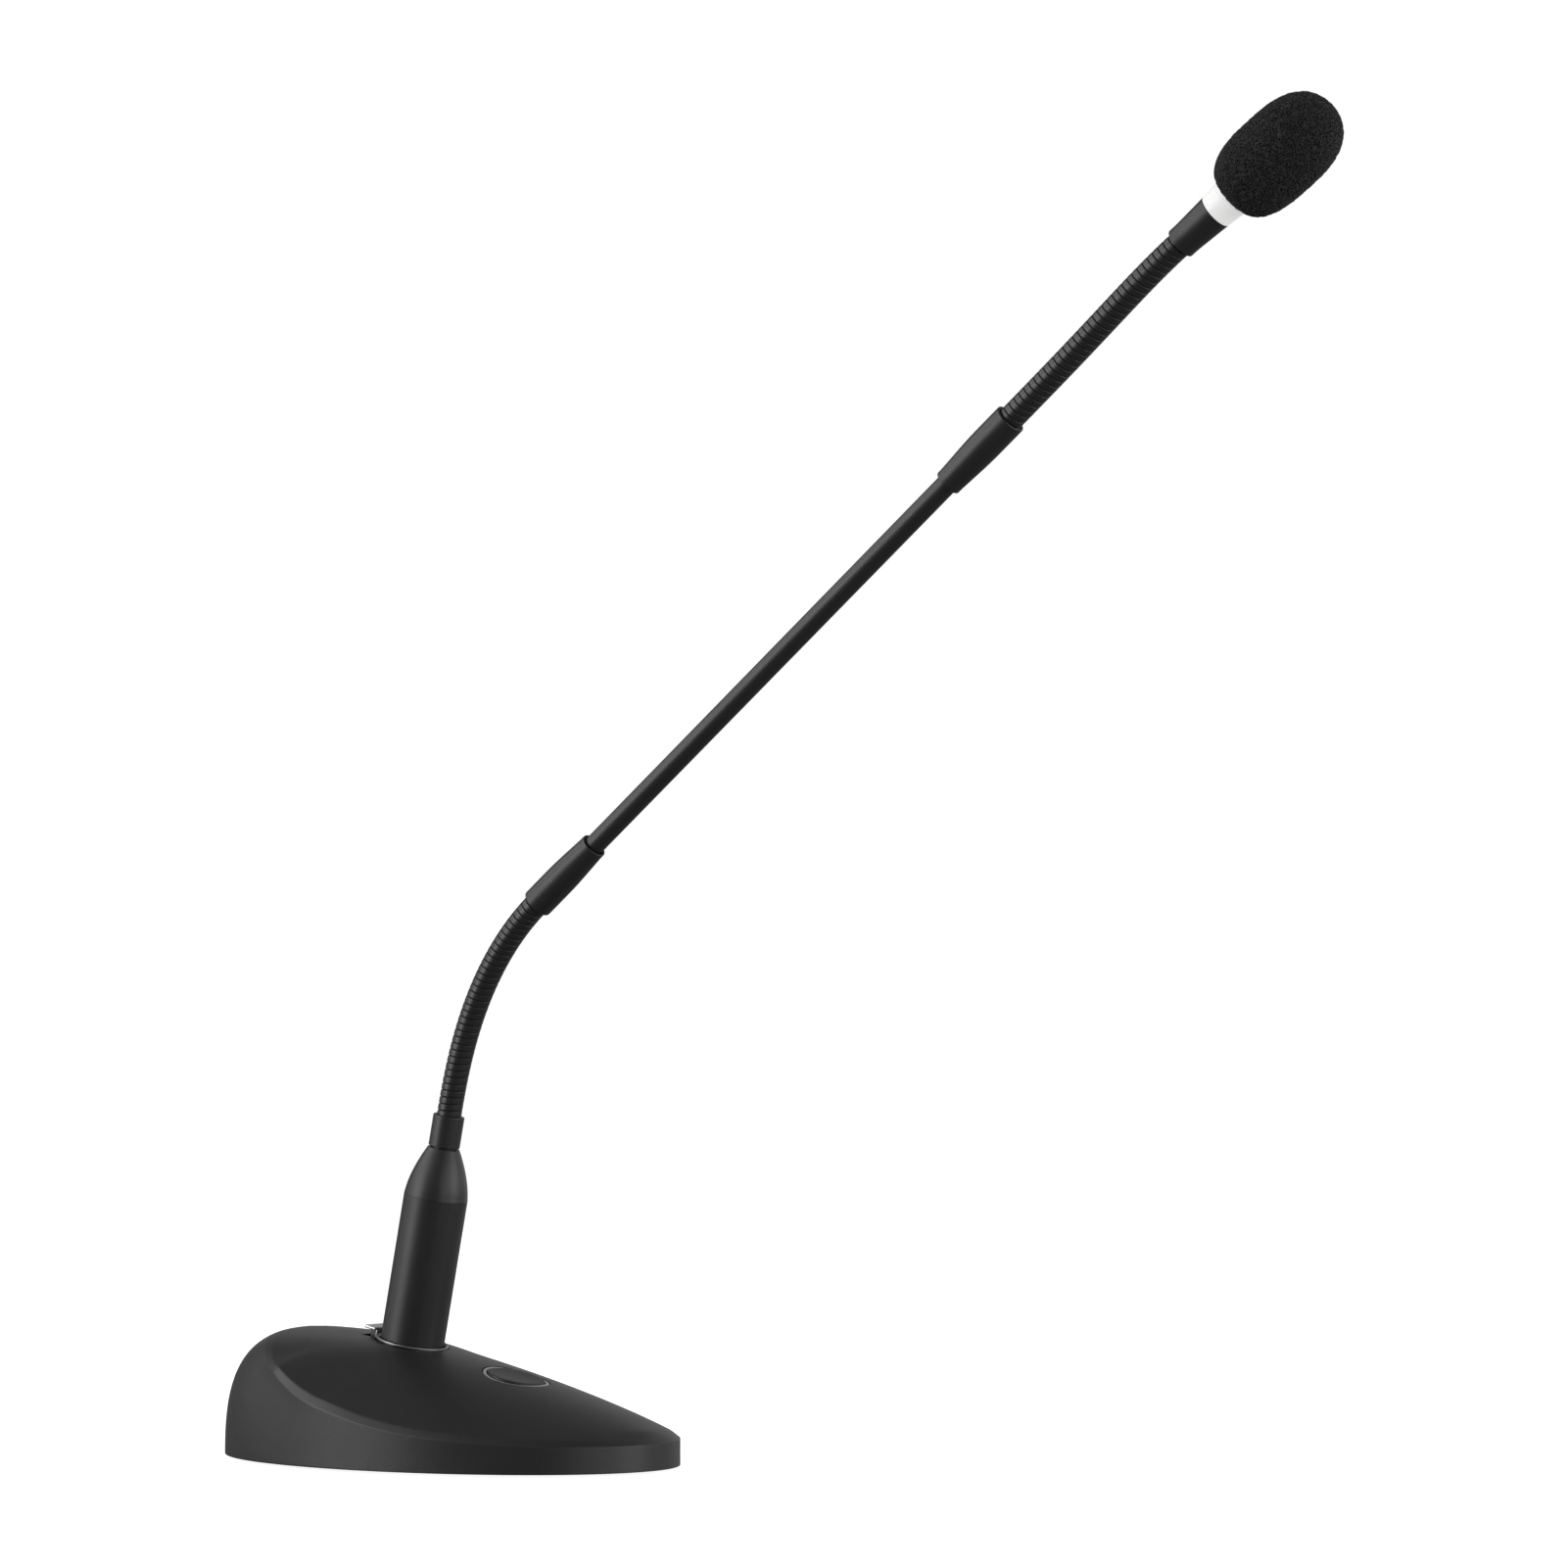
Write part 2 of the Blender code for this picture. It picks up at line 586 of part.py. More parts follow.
def build_barrel():
    profile = [(BARREL_BORE, BARREL_LENGTH), (BARREL_RADIUS, BARREL_LENGTH),
               (BARREL_RADIUS, -PLUG_DEPTH + 0.5 * MM), (BARREL_RADIUS - 0.4 * MM, -PLUG_DEPTH),
               (BARREL_BORE, -PLUG_DEPTH)]
    turned("barrel_tube", profile, STEM, SATIN_BLACK)
    steps = 8
    low = BARREL_LENGTH + GAP
    outer = [(nose_radius(i / steps), low + NOSE_LENGTH * i / steps) for i in range(steps, -1, -1)]
    bore = 3.9 * MM
    inner = [(6.5 * MM, low), (6.5 * MM, low + 3.0 * MM), (bore, low + 6.5 * MM),
             (bore, low + NOSE_LENGTH)]
    turned("barrel_nose", outer + inner, STEM, SATIN_BLACK)
    disc = cylinder("plug_insert", BARREL_BORE - GAP, 0.6 * MM, 5.6 * MM, STEM, BLACK_PLASTIC, FINE)
    for number, (x, y) in enumerate(pin_places(CONTACT_CIRCLE), 1):
        place = STEM @ Matrix.Translation((x, y, 0.0))
        cut(disc, cylinder("plug_hole", PIN_RADIUS + GAP, -5 * MM, 12 * MM, place, None, 12, TOOLS))
        profile = [(0.0, 7.6 * MM), (PIN_RADIUS, 7.6 * MM), (PIN_RADIUS, -10.0 * MM),
                   (0.5 * MM, -11.0 * MM), (0.0, -11.0 * MM)]
        turned("plug_pin_%d" % number, profile, place, GOLD, 12, closed=False)
    box("preamp_board", (12.0 * MM, 1.4 * MM, 30.0 * MM), (0.0, 0.0, 25.0 * MM), STEM, BOARD_GREEN)


def build_collar():
    low = BARREL_LENGTH + GAP + NOSE_LENGTH + GAP
    high = low + COLLAR_LENGTH
    half = LOWER_NECK / NECK_HINGES / 2
    profile = spigot_profile(high, half)
    profile += [(COLLAR_RADIUS - 0.5 * MM, high), (COLLAR_RADIUS, high - 0.5 * MM),
                (COLLAR_RADIUS, low), (3.6 * MM, low), (3.6 * MM, low - 9.0 * MM),
                (CABLE_BORE, low - 9.0 * MM)]
    turned("stem_collar", profile, STEM, BLACK_METAL)
    return high


def spigot_profile(face, length):
    """The neck core that a collar holds: from its bore's rim, over a relieved end, to the collar."""
    tip = face + length - GAP / 2
    return [(CABLE_BORE, tip - CABLE_BORE * math.tan(LINK_CONE)),
            (NECK_CORE, tip - NECK_CORE * math.tan(LINK_CONE)), (NECK_CORE, face)]


def lower_rise(share):
    """Angle above level along the lower neck, from the stem to the middle tube."""
    start = math.pi / 2 - STEM_LEAN
    return start + (MID_RISE - start) * share ** 1.45


def upper_rise(share):
    """Angle above level along the upper neck, which sways up a little before it drops to the head."""
    sway = UPPER_SWAY * math.sin(math.pi * share * share)
    return MID_RISE + sway + (HEAD_RISE - MID_RISE) * share ** 2.85


def neck_route(start, length, rise_at):
    """The joints of a neck: its hinge points, the angle of each link, and where it ends."""
    pitch = length / NECK_HINGES
    point = start
    hinges, rises = [], []
    for i in range(NECK_HINGES + 1):
        low = max(i - 0.5, 0.0) / NECK_HINGES
        high = min(i + 0.5, NECK_HINGES) / NECK_HINGES
        rise = rise_at(i / NECK_HINGES)
        rises.append(rise)
        point = step_forward(point, rise, (high - low) * length)
        if i < NECK_HINGES:
            hinges.append(point)
    return hinges, rises, point, pitch


def build_links(prefix, hinges, rises, pitch):
    """Seven loose links between the eight hinges, each relieved to a cone at both ends."""
    reach = pitch / 2 - GAP / 2
    rim = reach - NECK_CORE * math.tan(LINK_CONE)
    lip = reach - CABLE_BORE * math.tan(LINK_CONE)
    profile = [(CABLE_BORE, lip), (NECK_CORE, rim), (NECK_CORE, -rim), (CABLE_BORE, -lip)]
    for number in range(1, NECK_HINGES):
        low, high = hinges[number - 1], hinges[number]
        place = lean_frame(low, rises[number]) @ Matrix.Translation((0.0, 0.0, pitch / 2))
        turned("%s_%d" % (prefix, number), profile, place, BLACK_METAL, 14)


def build_middle(start, rise, half):
    """Lower coupler, middle tube and upper coupler on one line."""
    place = lean_frame(start, rise)
    sleeve = TUBE_RADIUS + GAP
    depth = COUPLER_LENGTH - TUBE_SOCKET
    outer = [(COUPLER_SMALL - 0.4 * MM, COUPLER_LENGTH), (COUPLER_SMALL, COUPLER_LENGTH - 0.4 * MM),
             (COUPLER_SMALL, COUPLER_LENGTH - 1.5 * MM), (COUPLER_BIG, COUPLER_STRAIGHT),
             (COUPLER_BIG, 0.5 * MM), (COUPLER_BIG - 0.5 * MM, 0.0)]
    spigot = [(r, -z) for r, z in reversed(spigot_profile(0.0, half))]
    inner = [(CABLE_BORE, depth - GAP), (sleeve, depth - GAP), (sleeve, COUPLER_LENGTH)]
    turned("lower_coupler", outer + spigot + inner, place, BLACK_METAL)
    tube_low = depth
    tube_high = COUPLER_LENGTH + TUBE_SHOWN + TUBE_SOCKET
    profile = [(TUBE_BORE, tube_high), (TUBE_RADIUS, tube_high), (TUBE_RADIUS, tube_low),
               (TUBE_BORE, tube_low)]
    turned("mid_tube", profile, place, BLACK_METAL, 24)
    end = 2 * COUPLER_LENGTH + TUBE_SHOWN
    flip = place @ Matrix.Translation((0.0, 0.0, end)) @ Matrix.Rotation(math.pi, 4, "X")
    turned("upper_coupler", outer + spigot + inner, flip, BLACK_METAL)
    return step_forward(start, rise, end)


# ---------------------------------------------------------------- head

def build_head(start, rise, half):
    place = lean_frame(start, rise)
    ring_low = FERRULE_LENGTH + GAP
    ring_bore = 3.9 * MM
    cup = FERRULE_LENGTH - 4.0 * MM
    profile = [(ring_bore, FERRULE_LENGTH), (FERRULE_RIM, FERRULE_LENGTH),
               (FERRULE_RADIUS, FERRULE_LENGTH * 0.2), (FERRULE_RADIUS, 0.4 * MM),
               (FERRULE_RADIUS - 0.4 * MM, 0.0)]
    profile += [(r, -z) for r, z in reversed(spigot_profile(0.0, half))]
    profile += [(CABLE_BORE, cup), (ring_bore, cup)]
    turned("head_ferrule", profile, place, BLACK_METAL)
    ring_high = ring_low + RING_LENGTH
    profile = [(ring_bore, ring_high), (RING_RADIUS - 0.3 * MM, ring_high),
               (RING_RADIUS, ring_high - 0.3 * MM), (FERRULE_RIM, ring_low), (ring_bore, ring_low)]
    turned("light_ring", profile, place, MILKY_WHITE)
    board = cylinder("ring_light_board", ring_bore - GAP, ring_low + 1.0 * MM, ring_low + 2.2 * MM,
                     place, BOARD_GREEN, 24)
    cut(board, cylinder("board_hole", 1.2 * MM, 0.0, 30 * MM, place, None, 12, TOOLS))
    body_low = ring_high + GAP
    body_high = body_low + CAPSULE_LENGTH
    bore = CAPSULE_RADIUS - 0.7 * MM
    profile = [(bore, body_high), (CAPSULE_RADIUS, body_high), (CAPSULE_RADIUS, body_low),
               (1.5 * MM, body_low), (1.5 * MM, body_low + 1.2 * MM), (bore, body_low + 1.2 * MM)]
    turned("capsule_housing", profile, place, BLACK_METAL, 24)
    cylinder("mic_capsule", bore - GAP, body_high - 6.0 * MM, body_high - 0.6 * MM, place, CHROME, 24)
    build_grille(place, body_high + GAP)
    build_foam(place, body_low, body_high + 3.4 * MM)


def build_grille(place, low):
    """The pierced cap in front of the capsule."""
    grille = cylinder("capsule_grille", CAPSULE_RADIUS, low, low + 1.0 * MM, place, BLACK_METAL, 24)
    places = [(0.0, 0.0)]
    places += [(2.9 * MM * math.cos(a), 2.9 * MM * math.sin(a))
               for a in [math.pi * i / 3 for i in range(6)]]
    for x, y in places:
        hole = cylinder("grille_hole", 0.7 * MM, low - 2 * MM, low + 4 * MM,
                        place @ Matrix.Translation((x, y, 0.0)), None, 8, TOOLS)
        cut(grille, hole)


def foam_radius(share):
    """An egg that is blunt at the mouth and rounder at the tip; share runs from mouth to tip."""
    middle = 0.46
    if share < middle:
        bulge = 1.0 - ((middle - share) / middle) ** 2.9
        return FOAM_RADIUS * (0.54 + 0.46 * bulge ** 0.6)
    bulge = 1.0 - ((share - middle) / (1.0 - middle)) ** 2.9
    return FOAM_RADIUS * max(bulge, 0.0) ** 0.45


def build_foam(place, low, bore_high):
    steps = 14
    shares = [0.5 - 0.5 * math.cos(math.pi * i / steps) for i in range(steps + 1)]
    outer = [(foam_radius(s), low + FOAM_LENGTH * s) for s in reversed(shares)]
    inner = [(FOAM_BORE, low), (FOAM_BORE, bore_high - 1.5 * MM), (FOAM_BORE - 1.5 * MM, bore_high),
             (0.0, bore_high)]
    turned("foam_windscreen", outer + inner, place, FOAM_BLACK, 28, closed=False)


# ---------------------------------------------------------------- whole object

def build():
    build_shell()
    build_foot()
    build_socket()
    build_tab()
    build_button()
    build_output()
    build_barrel()
    collar_top = build_collar()
    start = STEM @ Vector((0.0, 0.0, collar_top))
    hinges, rises, lower_end, pitch = neck_route(start, LOWER_NECK, lower_rise)
    build_links("lower_neck", hinges, rises, pitch)
    upper_start = build_middle(lower_end, rises[-1], pitch / 2)
    upper_hinges, upper_rises, head_start, upper_pitch = neck_route(upper_start, UPPER_NECK, upper_rise)
    build_links("upper_neck", upper_hinges, upper_rises, upper_pitch)
    build_head(head_start, upper_rises[-1], upper_pitch / 2)
    bpy.context.view_layer.update()


build()
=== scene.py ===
import json
import math

import bmesh
import bpy
from mathutils import Matrix, Vector
from mathutils.bvhtree import BVHTree


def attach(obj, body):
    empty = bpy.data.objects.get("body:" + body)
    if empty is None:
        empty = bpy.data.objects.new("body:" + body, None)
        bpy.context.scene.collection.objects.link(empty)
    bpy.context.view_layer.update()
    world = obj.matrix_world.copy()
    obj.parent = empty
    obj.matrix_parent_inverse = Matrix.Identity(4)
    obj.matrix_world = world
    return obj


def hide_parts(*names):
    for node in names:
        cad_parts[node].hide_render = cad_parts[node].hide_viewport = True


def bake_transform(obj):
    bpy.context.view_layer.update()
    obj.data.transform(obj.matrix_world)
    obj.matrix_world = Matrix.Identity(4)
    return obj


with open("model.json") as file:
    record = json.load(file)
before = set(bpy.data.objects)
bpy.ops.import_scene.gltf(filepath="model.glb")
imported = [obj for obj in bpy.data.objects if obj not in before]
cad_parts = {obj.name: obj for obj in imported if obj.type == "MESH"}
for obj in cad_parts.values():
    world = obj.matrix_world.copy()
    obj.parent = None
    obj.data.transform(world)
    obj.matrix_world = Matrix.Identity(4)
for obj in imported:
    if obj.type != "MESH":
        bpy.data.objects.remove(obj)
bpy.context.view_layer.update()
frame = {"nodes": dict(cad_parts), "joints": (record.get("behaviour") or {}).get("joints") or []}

mm = 0.001
gap = 0.3 * mm
scene = bpy.context.scene
joints = {joint["name"]: joint for joint in frame["joints"]}


# camera, lights, floor

viewSettings = {
    "place": (-1.224682, -0.977831, 0.125859),
    "turn": (92.7088, 0.0, -54.9990),      # degrees
    "sensor": 36.0,
    "lens": 121.287,
}

# each round softbox: degrees around the object from the camera to its left, degrees up, watts
lightSettings = {
    "leftBox": (72.0, 8.0, 14.6), "leftHigh": (72.0, 36.0, 3.8), "leftBack": (108.0, 8.0, 2.2),
    "leftBackHigh": (108.0, 36.0, 7.0), "rightFar": (-108.0, 8.0, 2.6),
    "leftFront": (36.0, 36.0, 1.4), "rightBox": (-72.0, 8.0, 12.4), "rightFront": (-36.0, 8.0, 6.1),
    "rightBack": (-144.0, 8.0, 2.0), "rightBackHigh": (-144.0, 36.0, 0.6), "backBox": (180.0, 8.0, 1.4),
}
lightRing = {"centre": (0.0, -0.06, 0.14), "distance": 1.8, "size": 1.24}

studioSettings = {
    "backdrop": 1.0,
    "fill": 0.18,
    "floorGlow": 0.9,
    "floorColour": (0.7, 0.7, 0.7, 1.0),
    "floorRadius": 30.0,
}


def placeCamera():
    data = bpy.data.cameras.new("viewCamera")
    data.lens = viewSettings["lens"]
    data.sensor_width = viewSettings["sensor"]
    data.clip_start = 0.05
    data.clip_end = 200.0
    camera = bpy.data.objects.new("viewCamera", data)
    camera.location = viewSettings["place"]
    camera.rotation_euler = [math.radians(angle) for angle in viewSettings["turn"]]
    scene.collection.objects.link(camera)
    scene.camera = camera


def placeLights():
    centre = Vector(lightRing["centre"])
    toCamera = viewSettings["turn"][2] - 90.0
    for name, (around, lift, power) in lightSettings.items():
        data = bpy.data.lights.new(name, "AREA")
        data.shape = "DISK"
        data.size = lightRing["size"]
        data.energy = power
        light = bpy.data.objects.new(name, data)
        turn, rise = math.radians(toCamera - around), math.radians(lift)
        away = Vector((math.cos(turn) * math.cos(rise), math.sin(turn) * math.cos(rise), math.sin(rise)))
        light.location = centre + away * lightRing["distance"]
        light.rotation_euler = (-away).to_track_quat("-Z", "Y").to_euler()
        scene.collection.objects.link(light)


def lightWorld():
    world = bpy.data.worlds.new("studio")
    world.use_nodes = True
    scene.world = world
    nodes, links = world.node_tree.nodes, world.node_tree.links
    nodes.clear()
    seen = nodes.new("ShaderNodeBackground")
    seen.inputs["Strength"].default_value = studioSettings["backdrop"]
    fill = nodes.new("ShaderNodeBackground")
    fill.inputs["Strength"].default_value = studioSettings["fill"]
    rays = nodes.new("ShaderNodeLightPath")
    mix = nodes.new("ShaderNodeMixShader")
    out = nodes.new("ShaderNodeOutputWorld")
    for background in (seen, fill):
        background.inputs["Color"].default_value = (1.0, 1.0, 1.0, 1.0)
    links.new(rays.outputs["Is Camera Ray"], mix.inputs[0])
    links.new(fill.outputs[0], mix.inputs[1])
    links.new(seen.outputs[0], mix.inputs[2])
    links.new(mix.outputs[0], out.inputs["Surface"])


def layFloor():
    mesh = bpy.data.meshes.new("studioFloor")
    radius = studioSettings["floorRadius"]
    corners = [(-radius, -radius, 0.0), (radius, -radius, 0.0), (radius, radius, 0.0), (-radius, radius, 0.0)]
    mesh.from_pydata(corners, [], [(0, 1, 2, 3)])
    floor = bpy.data.objects.new("studioFloor", mesh)
    scene.collection.objects.link(floor)
    paper = bpy.data.materials.new("studioPaper")
    paper.use_nodes = True
    shader = paper.node_tree.nodes["Principled BSDF"]
    shader.inputs["Base Color"].default_value = studioSettings["floorColour"]
    shader.inputs["Roughness"].default_value = 0.9
    shader.inputs["Specular IOR Level"].default_value = 0.1
    shader.inputs["Emission Color"].default_value = (1.0, 1.0, 1.0, 1.0)
    shader.inputs["Emission Strength"].default_value = studioSettings["floorGlow"]
    mesh.materials.append(paper)
    floor.visible_diffuse = False
    floor.visible_glossy = False


placeCamera()
placeLights()
lightWorld()
layFloor()
scene.view_settings.view_transform = "Standard"
print("studio ready")


# node helpers, for materials and for geometry

def socketOf(sockets, key):
    for socket in sockets:
        if socket.identifier == key:
            return socket
    return sockets[key]


def addNode(tree, kind, inputs=None, **options):
    made = tree.nodes.new(kind)
    for key, value in options.items():
        setattr(made, key, value)
    for key, value in (inputs or {}).items():
        socket = made.inputs[key] if isinstance(key, int) else socketOf(made.inputs, key)
        if isinstance(value, bpy.types.NodeSocket):
            tree.links.new(value, socket)
        else:
            socket.default_value = value
    return made


def addMath(tree, operation, *values):
    made = addNode(tree, "ShaderNodeMath", dict(enumerate(values)), operation=operation)
    return made.outputs[0]


def addVectorMath(tree, operation, *values):
    made = addNode(tree, "ShaderNodeVectorMath", dict(enumerate(values)), operation=operation)
    return made.outputs[0]


def remap(tree, value, low, high, newLow, newHigh, kind="SMOOTHSTEP"):
    made = addNode(tree, "ShaderNodeMapRange", {"Value": value, "From Min": low, "From Max": high,
                                                "To Min": newLow, "To Max": newHigh})
    made.interpolation_type = kind
    return made.outputs["Result"]


# finishes

finishSettings = {
    # name: colour, roughness, metallic, grain per metre, grain depth, mottle per metre, mottle share
    "shellSatin": ((0.0135, 0.0135, 0.014), 0.44, 0.0, 2600.0, 0.035, 60.0, 0.10),
    "barrelSatin": ((0.0135, 0.0135, 0.014), 0.42, 0.0, 3200.0, 0.004, 90.0, 0.025),
    "neckEnamel": ((0.0125, 0.0125, 0.013), 0.36, 0.0, 2400.0, 0.004, 160.0, 0.05),
    "tubeSatin": ((0.0135, 0.0135, 0.014), 0.42, 0.0, 3000.0, 0.004, 90.0, 0.025),
    "darkMetal": ((0.03, 0.03, 0.031), 0.26, 0.9, 2500.0, 0.02, 120.0, 0.15),
    "mouldedBlack": ((0.016, 0.016, 0.0165), 0.5, 0.0, 1800.0, 0.05, 80.0, 0.12),
    "buttonBlack": ((0.0135, 0.0135, 0.014), 0.46, 0.0, 2600.0, 0.03, 60.0, 0.08),
    "bezelGrey": ((0.36, 0.36, 0.365), 0.34, 0.0, 2400.0, 0.015, 90.0, 0.08),
    "rimNickel": ((0.24, 0.24, 0.245), 0.36, 0.8, 1800.0, 0.010, 120.0, 0.10),
    "footRubber": ((0.02, 0.02, 0.02), 0.82, 0.0, 1400.0, 0.12, 70.0, 0.22),
    "ballastIron": ((0.06, 0.058, 0.056), 0.62, 0.6, 700.0, 0.25, 50.0, 0.35),
    "contactGold": ((0.83, 0.6, 0.25), 0.22, 1.0, 2600.0, 0.015, 150.0, 0.12),
    "latchChrome": ((0.58, 0.58, 0.59), 0.30, 0.6, 1800.0, 0.012, 120.0, 0.08),
    "zincSteel": ((0.46, 0.46, 0.47), 0.34, 1.0, 900.0, 0.04, 55.0, 0.25),
    "capsuleAluminium": ((0.6, 0.6, 0.61), 0.3, 1.0, 2200.0, 0.03, 130.0, 0.12),
}


def makeFinish(name):
    colour, roughness, metallic, grainScale, grainDepth, mottleScale, mottleShare = finishSettings[name]
    made = bpy.data.materials.new(name)
    made.use_nodes = True
    tree = made.node_tree
    shader = tree.nodes["Principled BSDF"]
    place = addNode(tree, "ShaderNodeTexCoord").outputs["Object"]
    mottle = addNode(tree, "ShaderNodeTexNoise", {"Vector": place, "Scale": mottleScale, "Detail": 4.0,
                                                  "Roughness": 0.6}).outputs[0]
    grain = addNode(tree, "ShaderNodeTexNoise", {"Vector": place, "Scale": grainScale, "Detail": 2.0,
                                                 "Roughness": 0.5}).outputs[0]
    shade = remap(tree, mottle, 0.25, 0.75, 1.0 - mottleShare, 1.0 + mottleShare, "LINEAR")
    speck = remap(tree, grain, 0.3, 0.7, 1.0 - mottleShare * 0.8, 1.0 + mottleShare * 0.8, "LINEAR")
    tone = addMath(tree, "MULTIPLY", shade, speck)
    tint = addNode(tree, "ShaderNodeVectorMath", {0: colour, "Scale": tone}, operation="SCALE")
    tree.links.new(tint.outputs[0], shader.inputs["Base Color"])
    blur = addMath(tree, "MULTIPLY", remap(tree, mottle, 0.2, 0.8, 0.93, 1.07, "LINEAR"), roughness)
    tree.links.new(blur, shader.inputs["Roughness"])
    shader.inputs["Metallic"].default_value = metallic
    bump = addNode(tree, "ShaderNodeBump", {"Height": grain, "Strength": 1.0, "Distance": grainDepth * mm})
    tree.links.new(bump.outputs[0], shader.inputs["Normal"])
    return made


def dullGrooves(made):
    # the bottoms of the neck's grooves don't shine
    tree = made.node_tree
    roughness = tree.nodes["Principled BSDF"].inputs["Roughness"]
    groove = addNode(tree, "ShaderNodeAttribute", {}, attribute_name="groove").outputs["Fac"]
    blur = addMath(tree, "MAXIMUM", roughness.links[0].from_socket, groove)
    tree.links.new(blur, roughness)


finish = {name: makeFinish(name) for name in finishSettings}
dullGrooves(finish["neckEnamel"])

foamSettings = {
    "cell": 0.72 * mm,
    "fineCells": 2.7,           # small cells along one large cell
    "pitDepth": 0.50 * mm,
    "strut": 0.07,
    "strutFade": 0.28,
    "lump": 0.62 * mm,
    "lumpSize": 1.25 * mm,
    # the near-black pore colour is painted shade inside the foam's open cells
    "poreShade": (0.0015, 0.0015, 0.0015, 1.0),
    "strutColour": (0.044, 0.044, 0.045, 1.0),
}


def makeFoamFinish():
    made = bpy.data.materials.new("foamBlack")
    made.use_nodes = True
    tree = made.node_tree
    shader = tree.nodes["Principled BSDF"]
    place = addNode(tree, "ShaderNodeTexCoord").outputs["Object"]
    cells = addNode(tree, "ShaderNodeTexVoronoi", {"Vector": place, "Scale": 1.0 / foamSettings["cell"]},
                    feature="DISTANCE_TO_EDGE").outputs["Distance"]
    fineScale = foamSettings["fineCells"] / foamSettings["cell"]
    fine = addNode(tree, "ShaderNodeTexVoronoi", {"Vector": place, "Scale": fineScale},
                   feature="DISTANCE_TO_EDGE").outputs["Distance"]
    # base colour runs from the struts' own black to painted shade in the middle of each cell
    web = remap(tree, cells, 0.015, 0.15, 1.0, 0.0)
    fineWeb = remap(tree, fine, 0.02, 0.3, 1.0, 0.0)
    share = addMath(tree, "ADD", addMath(tree, "MULTIPLY", web, 0.75), addMath(tree, "MULTIPLY", fineWeb, 0.25))
    tint = addNode(tree, "ShaderNodeMix", {"Factor_Float": share, "A_Color": foamSettings["poreShade"],
                                           "B_Color": foamSettings["strutColour"]}, data_type="RGBA")
    tree.links.new(socketOf(tint.outputs, "Result_Color"), shader.inputs["Base Color"])
    shader.inputs["Roughness"].default_value = 0.92
    shader.inputs["Specular IOR Level"].default_value = 0.22
    shader.inputs["Sheen Weight"].default_value = 0.05
    shader.inputs["Sheen Roughness"].default_value = 0.45
    bump = addNode(tree, "ShaderNodeBump", {"Height": fineWeb, "Strength": 0.7, "Distance": 0.06 * mm})
    tree.links.new(bump.outputs[0], shader.inputs["Normal"])
    return made


def makeMilkyFinish():
    made = bpy.data.materials.new("milkyPlastic")
    made.use_nodes = True
    tree = made.node_tree
    shader = tree.nodes["Principled BSDF"]
    place = addNode(tree, "ShaderNodeTexCoord").outputs["Object"]
    cloud = addNode(tree, "ShaderNodeTexNoise", {"Vector": place, "Scale": 180.0, "Detail": 3.0}).outputs[0]
    tint = addNode(tree, "ShaderNodeMix", {"Factor_Float": cloud, "A_Color": (0.50, 0.50, 0.495, 1.0),
                                           "B_Color": (0.56, 0.56, 0.555, 1.0)}, data_type="RGBA")
    tree.links.new(socketOf(tint.outputs, "Result_Color"), shader.inputs["Base Color"])
    shader.inputs["Roughness"].default_value = 0.38
    shader.inputs["Subsurface Weight"].default_value = 0.25
    shader.inputs["Subsurface Scale"].default_value = 0.002
    shader.inputs["Emission Color"].default_value = (1.0, 1.0, 0.99, 1.0)
    shader.inputs["Emission Strength"].default_value = 0.52      # the ring is lit
    fine = addNode(tree, "ShaderNodeTexNoise", {"Vector": place, "Scale": 2600.0}).outputs[0]
    bump = addNode(tree, "ShaderNodeBump", {"Height": fine, "Strength": 1.0, "Distance": 0.01 * mm})
    tree.links.new(bump.outputs[0], shader.inputs["Normal"])
    return made


def makeBoardFinish():
    made = bpy.data.materials.new("boardGreen")
    made.use_nodes = True
    tree = made.node_tree
    shader = tree.nodes["Principled BSDF"]
    place = addNode(tree, "ShaderNodeTexCoord").outputs["Object"]
    tracks = addNode(tree, "ShaderNodeTexBrick", {"Vector": place, "Scale": 260.0, "Mortar Size": 0.09,
                                                  "Color1": (0.012, 0.12, 0.05, 1.0),
                                                  "Color2": (0.015, 0.15, 0.06, 1.0),
                                                  "Mortar": (0.03, 0.26, 0.11, 1.0)})
    tree.links.new(tracks.outputs["Color"], shader.inputs["Base Color"])
    shader.inputs["Roughness"].default_value = 0.35
    bump = addNode(tree, "ShaderNodeBump", {"Height": tracks.outputs["Fac"], "Distance": 0.05 * mm})
    tree.links.new(bump.outputs[0], shader.inputs["Normal"])
    return made


finish["foamBlack"] = makeFoamFinish()
finish["milkyPlastic"] = makeMilkyFinish()
finish["boardGreen"] = makeBoardFinish()
print("finishes made:", len(finish))


# mesh helpers

def newObject(name, mesh):
    made = bpy.data.objects.new(name, mesh)
    scene.collection.objects.link(made)
    return made


def shadeSmooth(mesh, angle=32.0):
    mesh.shade_smooth()
    mesh.set_sharp_from_angle(angle=math.radians(angle))


def bake(piece):
    bpy.context.view_layer.update()
    depsgraph = bpy.context.evaluated_depsgraph_get()
    mesh = bpy.data.meshes.new_from_object(piece.evaluated_get(depsgraph))
    piece.modifiers.clear()
    old, piece.data = piece.data, mesh
    bpy.data.meshes.remove(old)
    return piece


def addPiece(name, mesh, finishName, body, nodes=()):
    piece = mesh if isinstance(mesh, bpy.types.Object) else newObject(name, mesh)
    piece.name = name
    piece.data.name = name
    piece.data.materials.clear()
    piece.data.materials.append(finish[finishName])
    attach(piece, body)
    if nodes:
        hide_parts(*nodes)
    return piece


def addTurned(name, outline, place, sides, finishName, body, nodes=(), closed=True):
    return addPiece(name, turnedMesh(name, outline, place, closed, sides), finishName, body, nodes)


def numbered(name, count):
    return ["%s_%d" % (name, i) for i in range(1, count + 1)]


